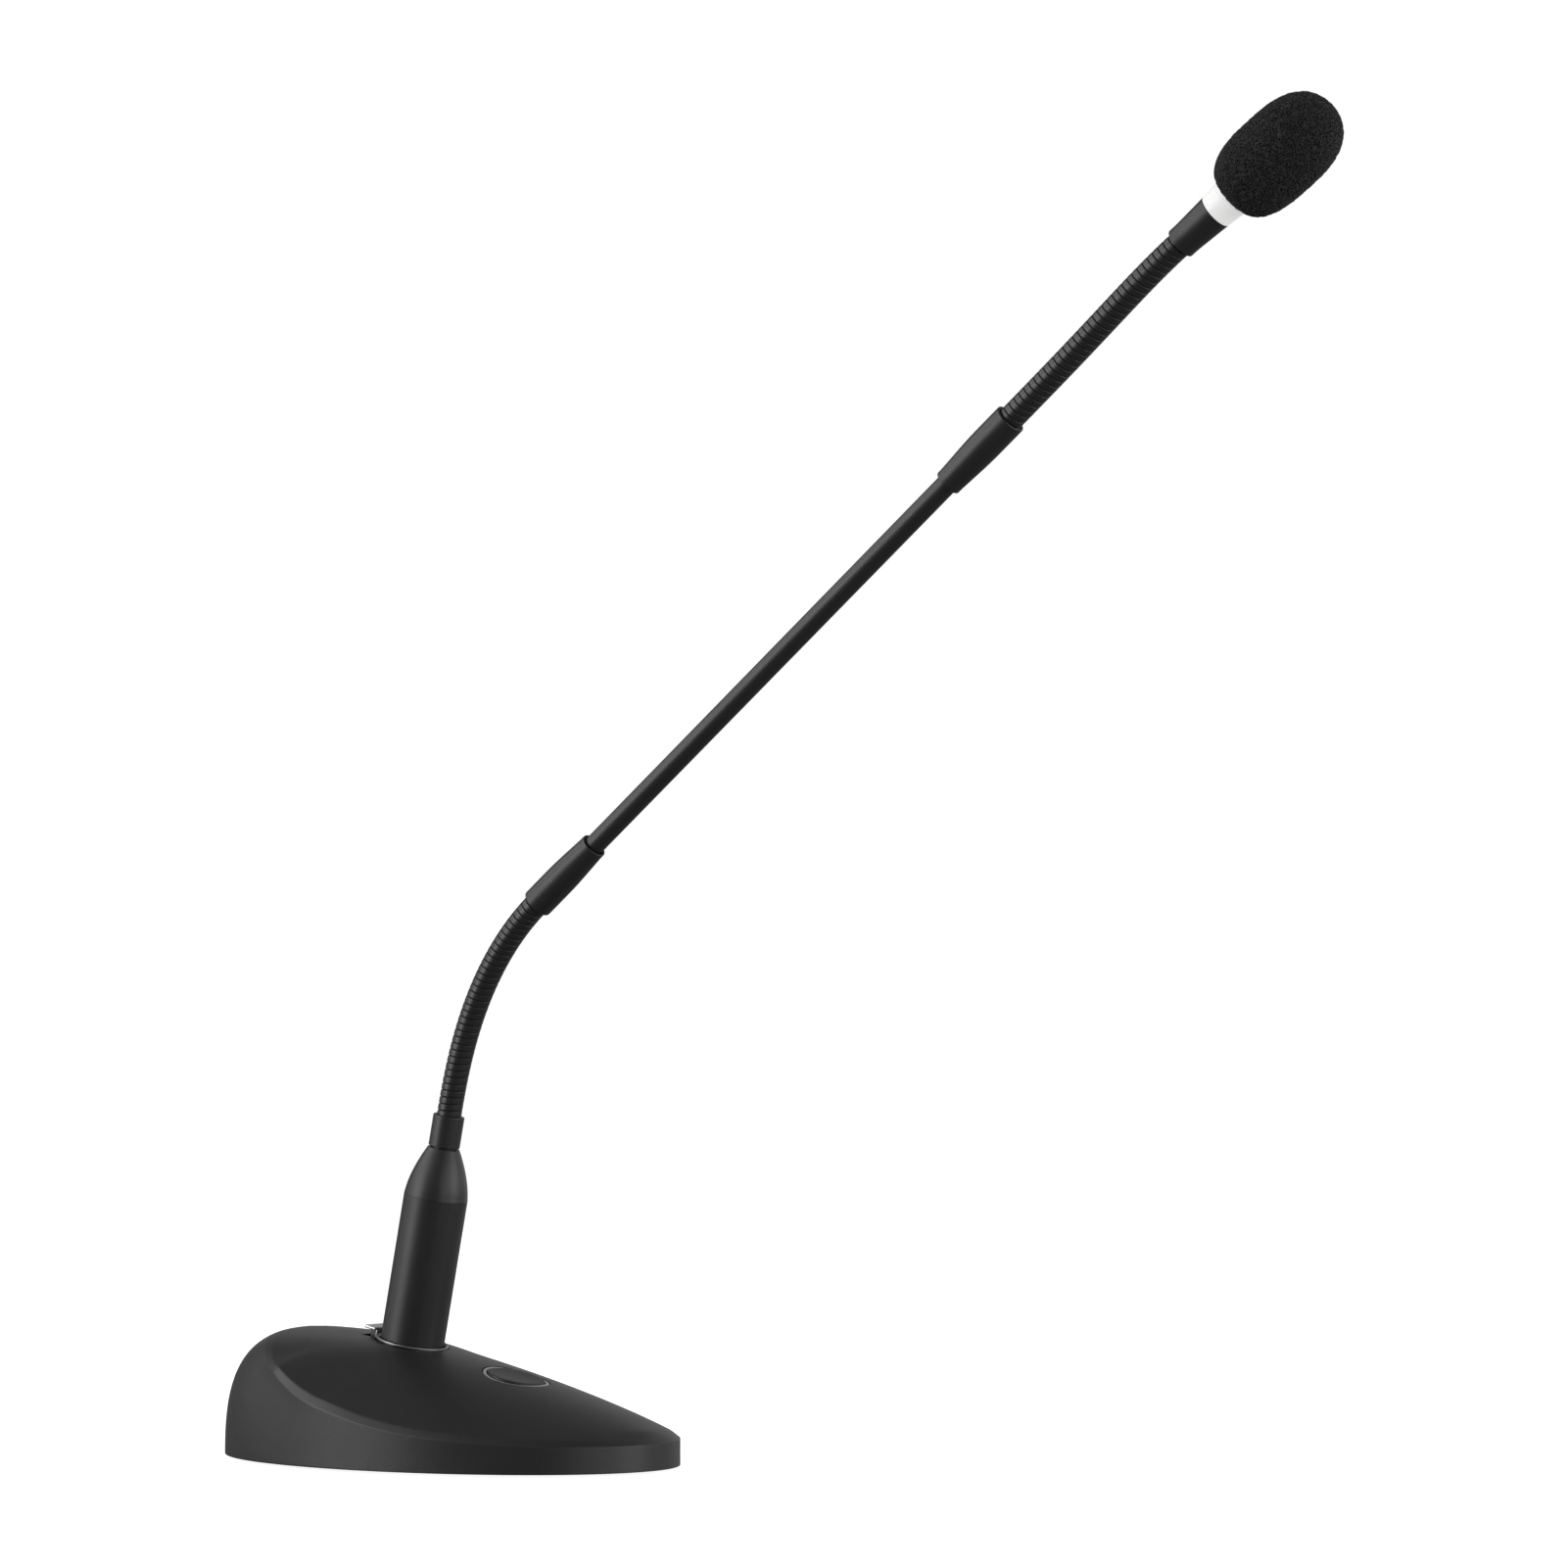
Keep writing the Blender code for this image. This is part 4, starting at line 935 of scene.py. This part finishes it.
def makeSocket():
    bore, rim, floor = socket["bore"], socket["rim"], -socket["depth"]
    outline = [(bore, 0.2 * mm, 0.1 * mm), (bore + 0.35 * mm, 0.6 * mm, 0.12 * mm),
               (rim - 0.2 * mm, 0.6 * mm, 0.2 * mm), (rim, 0.35 * mm, 0.2 * mm),
               (rim, floor - 2.0 * mm, 0.3 * mm), (3.0 * mm, floor - 2.0 * mm), (3.0 * mm, floor), (bore, floor)]
    shellRing = newObject("socketShell", turnedMesh("socketShell", outline, stemFrame, True, 128))
    ledge = boxMesh("ledge", (7.0 * mm, 7.0 * mm, 1.4 * mm), (0.0, rim + 3.1 * mm, -12.0 * mm), stemFrame)
    combine(shellRing, ledge, "UNION")
    shadeSmooth(shellRing.data)
    addPiece("socketShell", shellRing, "darkMetal", "base", ["socket_shell"])
    outline = [(rim - 0.42 * mm, 0.5 * mm), (rim - 0.42 * mm, 0.72 * mm, 0.06 * mm), (rim, 0.66 * mm, 0.12 * mm),
               (rim + 0.02 * mm, 0.2 * mm, 0.05 * mm), (rim - 0.3 * mm, 0.2 * mm)]
    addTurned("socketLip", outline, stemFrame, 160, "rimNickel", "base")
    top, low, circle = -1.0 * mm, floor + gap, socket["contactCircle"]
    outline = [(0.0, top), (7.5 * mm, top, 0.4 * mm), (7.5 * mm, low), (0.0, low)]
    insert = piercedDisc("socketInsert", outline, stemFrame, pinPlaces(level, circle), 2.1 * mm,
                         -30.0 * mm, 5.0 * mm, 32)
    addPiece("socketInsert", insert, "mouldedBlack", "base", ["socket_insert"])
    outer, inner, low, high = 1.8 * mm, 1.4 * mm, -13.4 * mm, -2.0 * mm
    outline = [(outer, high, 0.15 * mm), (outer, low), (inner, low), (inner, high, 0.15 * mm)]
    pattern = turnedMesh("sleeve", outline, level, True, 32, 2)
    sleeves = repeatPiece("socketContacts", pattern, pinPlaces(stemFrame, circle), tuple(stemFrame.to_euler()),
                          "contactGold")
    addPiece("socketContacts", sleeves, "contactGold", "base", numbered("socket_contact", 3))


def makeTab():
    # a thin thumb plate with a lip beside the barrel, on a narrower shank whose black finish is painted shade for
    # the dark slot under the plate
    (width, depth), top, reach, thick = tab["size"], tab["top"], tab["reach"], tab["plate"]
    made = newObject("latchTab", boxMesh("latchTab", (width, depth, thick), (0.0, reach, top - thick / 2),
                                         stemFrame, 0.42 * mm, 5))
    middle = (tab["lipSide"], reach - depth / 2 + 0.4 * mm, top - thick / 2 - 1.8 * mm)
    combine(made, boxMesh("lip", tab["lip"], middle, stemFrame, 0.2 * mm, 3), "UNION")
    for i in (-1, 0, 1):
        middle = (0.0, reach + i * tab["gripStep"], top)
        combine(made, boxMesh("grip", (width - 2.4 * mm, 0.3 * mm, 0.4 * mm), middle, stemFrame))
    shadeSmooth(made.data)
    addPiece("latchTab", made, "latchChrome", "release_tab", ["latch_tab"])
    high = top - thick - 0.02 * mm
    mesh = boxMesh("latchShank", (width - 4.2 * mm, depth - 1.4 * mm, high - tab["foot"]),
                   (1.0 * mm, reach + 0.4 * mm, (high + tab["foot"]) / 2), stemFrame, 0.3 * mm, 3)
    shank = newObject("latchShank", mesh)
    combine(shank, rodMesh("bore", 1.25 * mm, tab["foot"] - 1.0 * mm, -2.0 * mm, moved(stemFrame, 0.0, reach), 32))
    shadeSmooth(shank.data)
    # the black moulded finish on the shank stands in as painted shade under the chrome plate
    addPiece("latchShank", shank, "mouldedBlack", "release_tab")


makeSocket()
makeTab()
print("socket built")


# mute button

def makeButton():
    ring, bezel = button["radius"] + gap, button["bezel"]
    outline = [(ring, -0.26 * mm, 0.06 * mm), (bezel - 0.2 * mm, -0.18 * mm, 0.08 * mm),
               (bezel, -0.3 * mm, 0.08 * mm), (bezel, -4.5 * mm, 0.2 * mm), (ring, -4.5 * mm)]
    mesh = turnedMesh("buttonBezel", outline, buttonFrame, True, 128)
    for vertex in mesh.vertices:
        # the ring's top follows the crown across the shell
        if vertex.co.z > crownHeight(vertex.co.y) - 1.0 * mm:
            vertex.co.z -= crownHeight(vertex.co.y) - topHeight(vertex.co.x, vertex.co.y)
    addPiece("buttonBezel", mesh, "bezelGrey", "base", ["button_bezel"])
    # the cap is dished in the middle and stands on a stub
    radius, depth, stub = button["radius"], button["depth"], 2.2 * mm
    outline = [(0.0, -0.22 * mm)]
    outline += [(radius * share, (-0.22 + 0.3 * share ** 2.2) * mm) for share in (0.15, 0.3, 0.45, 0.6, 0.72, 0.82)]
    outline += [(radius * 0.93, -0.02 * mm), (radius, -0.1 * mm, 0.3 * mm), (radius, -depth, 0.2 * mm),
                (stub, -depth), (stub, -6.2 * mm), (0.0, -6.2 * mm)]
    addTurned("muteButton", outline, buttonFrame, 128, "buttonBlack", "mute_cap", ["mute_button"],
              closed=False)


makeButton()
print("button built")


# rear connector

def makeOutput():
    flange, back = 1.1 * mm, -output["depth"] + 1.1 * mm
    bore, radius, wide = output["bore"], output["radius"], output["flange"]
    outline = [(bore, flange + gap, 0.3 * mm), (wide - 0.3 * mm, flange + gap, 0.25 * mm),
               (wide, flange, 0.25 * mm), (wide, gap, 0.1 * mm), (radius, gap), (radius, back, 0.3 * mm),
               (bore, back)]
    cup = newObject("outputShell", turnedMesh("outputShell", outline, outputFrame, True, 128))
    key = boxMesh("key", (2.0 * mm, 1.6 * mm, 10.0 * mm), (0.0, -bore, -5.0 * mm), outputFrame, 0.3 * mm, 2)
    combine(cup, key, "UNION")
    shadeSmooth(cup.data)
    addPiece("outputShell", cup, "darkMetal", "base", ["output_shell"])
    low = back + 0.2 * mm
    outline = [(0.0, low + 2.8 * mm), (bore - gap, low + 2.8 * mm, 0.3 * mm), (bore - gap, low), (0.0, low)]
    circle, tip, pin = output["pinCircle"], -1.2 * mm, output["pin"]
    disc = piercedDisc("outputInsert", outline, outputFrame, pinPlaces(level, circle, -1.0), pin + gap,
                       -30.0 * mm, 5.0 * mm, 24)
    addPiece("outputInsert", disc, "mouldedBlack", "base", ["output_insert"])
    outline = [(0.0, tip), (pin, tip, 0.9 * mm), (pin, back - 1.5 * mm, 0.2 * mm), (0.0, back - 1.5 * mm)]
    pins = repeatPiece("outputPins", turnedMesh("pin", outline, level, False, 32, 5),
                       pinPlaces(outputFrame, circle, -1.0), tuple(outputFrame.to_euler()), "contactGold")
    addPiece("outputPins", pins, "contactGold", "base", numbered("output_pin", 3))


makeOutput()
print("rear connector built")


# stem: barrel, nose, collar, plug

stem = {
    "radius": 9.5 * mm, "bore": 8.0 * mm, "length": 44.3 * mm, "plug": 14.4 * mm,
    "nose": 14.6 * mm, "noseTip": 4.85 * mm, "noseSteps": 28, "noseInset": 0.1 * mm, "nosePower": 1.6,
    "groove": (-8.0 * mm, -5.6 * mm), "grooveDepth": 0.5 * mm,
    "collar": 4.66 * mm, "collarLength": 9.3 * mm, "mouth": 3.85 * mm,
}


def noseRadius(share):
    fall = (stem["radius"] - stem["noseTip"]) * share ** stem["nosePower"]
    return stem["radius"] - stem["noseInset"] - fall


def makeBarrel():
    radius, bore, top, low = stem["radius"], stem["bore"], stem["length"], -stem["plug"]
    (cutLow, cutHigh), inner = stem["groove"], radius - stem["grooveDepth"]
    outline = [(bore, top), (radius, top, 0.04 * mm), (radius, cutHigh, 0.1 * mm), (inner, cutHigh, 0.1 * mm),
               (inner, cutLow, 0.1 * mm), (radius, cutLow, 0.1 * mm), (radius, low, 0.5 * mm),
               (bore, low, 0.2 * mm)]
    addTurned("barrelTube", outline, stemFrame, 128, "barrelSatin", "stem", ["barrel_tube"])
    low, steps = top + 0.03 * mm, stem["noseSteps"]
    outer = [(noseRadius(i / steps), low + stem["nose"] * i / steps) for i in range(steps, -1, -1)]
    outer[-1] = (radius - 0.01 * mm, low, 0.03 * mm)
    outer[-2] = (noseRadius(1 / steps) + 0.04 * mm, outer[-2][1])
    wide, narrow = 6.5 * mm, 3.9 * mm
    inner = [(wide, low), (wide, low + 3.0 * mm), (narrow, low + 6.5 * mm), (narrow, low + stem["nose"])]
    addTurned("barrelNose", outer + inner, stemFrame, 128, "barrelSatin", "stem", ["barrel_nose"])


def makeCollar():
    low = stem["length"] + gap + stem["nose"] + gap
    high = low + stem["collarLength"]
    wide, mouth, spigot, hole = stem["collar"], stem["mouth"], 3.6 * mm, 1.6 * mm
    outline = [(mouth, high, 0.12 * mm), (wide, high, 0.3 * mm), (wide, low, 0.15 * mm), (spigot, low),
               (spigot, low - 9.0 * mm), (hole, low - 9.0 * mm), (hole, high - 4.0 * mm), (mouth, high - 4.0 * mm)]
    addTurned("stemCollar", outline, stemFrame, 96, "barrelSatin", "stem", ["stem_collar"])


def makePlug():
    radius, circle = stem["bore"] - gap, socket["contactCircle"]
    outline = [(0.0, 5.6 * mm), (radius, 5.6 * mm), (radius, 0.6 * mm, 0.3 * mm), (0.0, 0.6 * mm)]
    disc = piercedDisc("plugInsert", outline, stemFrame, pinPlaces(level, circle), 1.4 * mm,
                       -5.0 * mm, 12.0 * mm, 24)
    addPiece("plugInsert", disc, "mouldedBlack", "stem", ["plug_insert"])
    outline = [(0.0, 7.6 * mm), (1.1 * mm, 7.6 * mm), (1.1 * mm, -11.0 * mm, 0.9 * mm), (0.0, -11.0 * mm)]
    pins = repeatPiece("plugPins", turnedMesh("plugPin", outline, level, False, 32, 5),
                       pinPlaces(stemFrame, circle), tuple(stemFrame.to_euler()), "contactGold")
    addPiece("plugPins", pins, "contactGold", "stem", numbered("plug_pin", 3))


makeBarrel()
makeCollar()
makePlug()
print("stem built")


# necks: one ribbed piece over each hinge

neck = {
    "hinges": 8, "pitch": 2.05 * mm, "radius": 3.66 * mm, "crown": 0.02 * mm, "depth": 0.34 * mm, "groove": 0.20,
    "sides": 52, "rowStep": 0.06 * mm, "inset": 2.6 * mm, "bendPoints": 16,
    "midRise": 38.64, "headRise": 35.0,
}


def riseDirection(degrees):
    return Vector((0.0, -math.cos(math.radians(degrees)), math.sin(math.radians(degrees))))


def neckHinges(side):
    names = []
    for i in range(1, neck["hinges"] // 2 + 1):
        names += ["%s_neck_bend_%d" % (side, i), "%s_neck_swing_%d" % (side, i)]
    return [joints[name] for name in names]


def neckRoute(hinges, startRise, endRise):
    # straight into both sleeves, and a curve that turns at each hinge between the middles of its two links
    points = [Vector(hinge["pos_m"]) for hinge in hinges]
    half = (points[1] - points[0]).length / 2
    stops = [points[0] - riseDirection(startRise) * half]
    stops += [(a + b) / 2 for a, b in zip(points, points[1:])]
    stops.append(points[-1] + riseDirection(endRise) * half)
    line = [stops[0] - riseDirection(startRise) * neck["inset"], stops[0]]
    lengths = [neck["inset"]]
    for low, turn, high in zip(stops, points, stops[1:]):
        for k in range(1, neck["bendPoints"] + 1):
            t = k / neck["bendPoints"]
            line.append(low * (1 - t) ** 2 + turn * (2 * t * (1 - t)) + high * t * t)
        run = sum((b - a).length for a, b in zip(line, line[1:]))
        lengths.append(run)
    line.append(stops[-1] + riseDirection(endRise) * neck["inset"])
    return line, stops, lengths


def makeNeck(side, startRise, endRise):
    hinges = neckHinges(side)
    line, stops, lengths = neckRoute(hinges, startRise, endRise)
    total = lengths[-1] + neck["inset"]
    for i, hinge in enumerate(hinges):
        start = 0.0 if i == 0 else lengths[i]
        end = total if i == len(hinges) - 1 else lengths[i + 1]
        mesh = bpy.data.meshes.new("route")
        mesh.from_pydata([tuple(point) for point in line], [(k, k + 1) for k in range(len(line) - 1)], [])
        name = "%sNeck%d" % (side, i + 1)
        piece = newObject(name, mesh)
        runTree(piece, ribTree, {
            "Start": start, "End": end, "Rows": round((end - start) / neck["rowStep"]) + 1,
            "Sides": neck["sides"], "Pitch": neck["pitch"], "Radius": neck["radius"], "Crown": neck["crown"],
            "Depth": neck["depth"], "Groove": neck["groove"], "Finish": finish["neckEnamel"]})
        piece.data.name = name
        if i < len(hinges) - 1:
            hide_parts("%s_neck_%d" % (side, i + 1))
        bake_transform(piece)
    return stops[-1]


lowerEnd = makeNeck("lower", 90.0 - socket["lean"], neck["midRise"])
headStart = makeNeck("upper", neck["midRise"], neck["headRise"])
print("necks built")


# couplers and the tube between them

middle = {
    "coupler": 26.6 * mm, "big": 4.65 * mm, "small": 3.98 * mm, "straight": 13.0 * mm, "mouth": 3.85 * mm,
    "tube": 3.02 * mm, "tubeBore": 2.4 * mm, "shown": 157.4 * mm, "held": 12.0 * mm, "tubeGap": 0.42 * mm,
}


def makeMiddle():
    place = liftFrame(lowerEnd, math.radians(neck["midRise"]))
    length, big, small, mouth = middle["coupler"], middle["big"], middle["small"], middle["mouth"]
    depth, sleeve = length - middle["held"], middle["tube"] + middle["tubeGap"]
    outline = [(sleeve, length, 0.1 * mm), (small, length, 0.35 * mm),
               (small + 0.02 * mm, length - 1.6 * mm, 0.8 * mm), (big, middle["straight"], 4.0 * mm),
               (big, 0.0, 1.0 * mm), (mouth, 0.0, 0.15 * mm), (mouth, 4.0 * mm), (1.6 * mm, 4.0 * mm),
               (1.6 * mm, depth - gap), (sleeve, depth - gap)]
    addTurned("lowerCoupler", outline, place, 96, "tubeSatin", "mid_section", ["lower_coupler"])
    end = 2 * length + middle["shown"]
    flip = moved(place, 0.0, 0.0, end) @ Matrix.Rotation(math.pi, 4, "X")
    addTurned("upperCoupler", outline, flip, 96, "tubeSatin", "mid_section", ["upper_coupler"])
    low, high, tube, bore = depth, length + middle["shown"] + middle["held"], middle["tube"], middle["tubeBore"]
    outline = [(bore, high), (tube, high), (tube, low), (bore, low)]
    addTurned("midTube", outline, place, 96, "tubeSatin", "mid_section", ["mid_tube"])


makeMiddle()
print("middle section built")


# head: ferrule, light ring, capsule, windscreen

head = {
    "ferrule": 13.5 * mm, "ferruleRadius": 4.55 * mm, "rim": 5.15 * mm, "ring": 5.7 * mm, "ringLength": 6.3 * mm,
    "bore": 3.9 * mm, "capsule": 4.9 * mm, "capsuleLength": 15.0 * mm, "mouth": 3.85 * mm,
    "grilleStep": 1.05 * mm, "grilleHole": 0.36 * mm, "grilleEdge": 1.1 * mm,
}
screen = {
    "radius": 12.15 * mm, "length": 36.5 * mm, "bore": 5.3 * mm, "clear": 3.4 * mm, "middle": 0.46,
    "bluntness": 2.9, "footShare": 0.54, "footSwell": 0.46, "footPower": 0.6, "tipPower": 0.45,
    "around": 420, "rows": 250, "boreRows": 36, "profileSteps": 400,
}


def makeHead():
    place = liftFrame(headStart, math.radians(neck["headRise"]))
    long, rim, ring, bore = head["ferrule"], head["rim"], head["ring"], head["bore"]
    outline = [(bore, long), (rim, long, 0.1 * mm), (head["ferruleRadius"], long * 0.2, 2.0 * mm),
               (head["ferruleRadius"], 0.0, 0.6 * mm), (head["mouth"], 0.0, 0.15 * mm), (head["mouth"], 4.0 * mm),
               (1.6 * mm, 4.0 * mm), (1.6 * mm, long - 4.0 * mm), (bore, long - 4.0 * mm)]
    addTurned("headFerrule", outline, place, 96, "tubeSatin", "head", ["head_ferrule"])
    low = long + gap * 0.4
    high = long + gap + head["ringLength"]
    flare = (ring - rim) / (high - low)
    lip = ring - 1.2 * mm * flare
    outline = [(bore, high), (ring - 0.1 * mm, high, 0.25 * mm), (lip + 0.03 * mm, high - 1.05 * mm, 0.05 * mm),
               (lip - 0.12 * mm, high - 1.15 * mm, 0.05 * mm), (lip, high - 1.3 * mm, 0.05 * mm),
               (rim, low, 0.1 * mm), (bore, low)]
    addTurned("lightRing", outline, place, 128, "milkyPlastic", "head", ["light_ring"])
    low = high + gap
    top = low + head["capsuleLength"]
    wide = head["capsule"]
    thin, grooved = wide - 0.7 * mm, wide - 0.15 * mm
    outline = [(thin, top), (wide, top, 0.2 * mm), (wide, low + 2.4 * mm, 0.1 * mm),
               (grooved, low + 2.3 * mm, 0.05 * mm), (grooved, low + 2.1 * mm, 0.05 * mm),
               (wide, low + 2.0 * mm, 0.1 * mm), (wide, low, 0.2 * mm), (1.5 * mm, low),
               (1.5 * mm, low + 1.2 * mm), (thin, low + 1.2 * mm)]
    addTurned("capsuleHousing", outline, place, 96, "darkMetal", "head", ["capsule_housing"])
    makeGrille(place, top + gap)
    return place, low, top


def makeGrille(place, low):
    wide, high = head["capsule"], low + 1.0 * mm
    outline = [(0.0, high), (wide, high, 0.4 * mm), (wide, low, 0.1 * mm), (0.0, low)]
    cap = newObject("capsuleGrille", turnedMesh("capsuleGrille", outline, place, False, 96))
    step, spots = head["grilleStep"], []
    for j in range(-4, 5):
        for i in range(-5, 6):
            x, y = (i + 0.5 * (j % 2)) * step, j * step * hexRow
            if math.hypot(x, y) < wide - head["grilleEdge"]:
                spots.append(place @ Vector((x, y, low + 0.5 * mm)))
    holes = pointsObject("grilleHoles", spots)
    runTree(cap, holeTree, {"Holes": holes, "Hole Radius": head["grilleHole"], "Hole Depth": 4.0 * mm, "Sides": 12,
                            "Turn": tuple(place.to_euler()), "Finish": finish["darkMetal"]})
    bpy.data.objects.remove(holes)
    shadeSmooth(cap.data)
    addPiece("capsuleGrille", cap, "darkMetal", "head", ["capsule_grille"])


def foamRadius(share):
    centre, blunt = screen["middle"], screen["bluntness"]
    if share < centre:
        bulge = 1.0 - ((centre - share) / centre) ** blunt
        return screen["radius"] * (screen["footShare"] + screen["footSwell"] * bulge ** screen["footPower"])
    bulge = 1.0 - ((share - centre) / (1.0 - centre)) ** blunt
    return screen["radius"] * max(bulge, 0.0) ** screen["tipPower"]


def makeWindscreen(place, low, boreTop):
    count, bore = screen["profileSteps"], screen["bore"]
    outer = []
    for i in range(count + 1):
        share = 0.5 + 0.5 * math.cos(math.pi * i / count)
        outer.append(Vector((foamRadius(share), low + screen["length"] * share)))
    outer.append(Vector((bore, low)))
    line = evenSteps(outer, screen["rows"])
    inner = [Vector((bore, low)), Vector((bore, boreTop - 1.5 * mm)), Vector((bore - 1.5 * mm, boreTop)),
             Vector((0.0, boreTop))]
    line = line[:-1] + evenSteps(inner, screen["boreRows"])
    mesh = turnedMesh("foamWindscreen", [tuple(point) for point in line], place, False, screen["around"])
    piece = newObject("foamWindscreen", mesh)
    runTree(piece, skinTree, {"Cell Size": foamSettings["cell"], "Pit Depth": foamSettings["pitDepth"],
                              "Strut": foamSettings["strut"], "Lump": foamSettings["lump"],
                              "Lump Size": foamSettings["lumpSize"], "Finish": finish["foamBlack"]})
    addPiece("foamWindscreen", piece, "foamBlack", "windscreen", ["foam_windscreen"])


def evenSteps(line, count):
    lengths = [0.0]
    for a, b in zip(line, line[1:]):
        lengths.append(lengths[-1] + (b - a).length)
    made, k = [], 0
    for i in range(count + 1):
        want = lengths[-1] * i / count
        while k < len(line) - 2 and lengths[k + 1] < want:
            k += 1
        share = (want - lengths[k]) / max(lengths[k + 1] - lengths[k], 1e-9)
        made.append(line[k].lerp(line[k + 1], min(share, 1.0)))
    return made


headFrame, foamLow, capsuleTop = makeHead()
makeWindscreen(headFrame, foamLow, capsuleTop + screen["clear"])
print("head and windscreen built")


# finishes of the solids that are kept as they are

keptFinish = {
    "ballast_weight": "ballastIron", "latch_spring": "zincSteel", "main_board": "boardGreen",
    "button_switch": "mouldedBlack", "output_nut": "zincSteel", "preamp_board": "boardGreen",
    "ring_light_board": "boardGreen", "mic_capsule": "capsuleAluminium",
}
for nodeName, finishName in keptFinish.items():
    node = frame["nodes"][nodeName]
    node.data.materials.clear()
    node.data.materials.append(finish[finishName])
print("kept solids painted:", len(keptFinish))
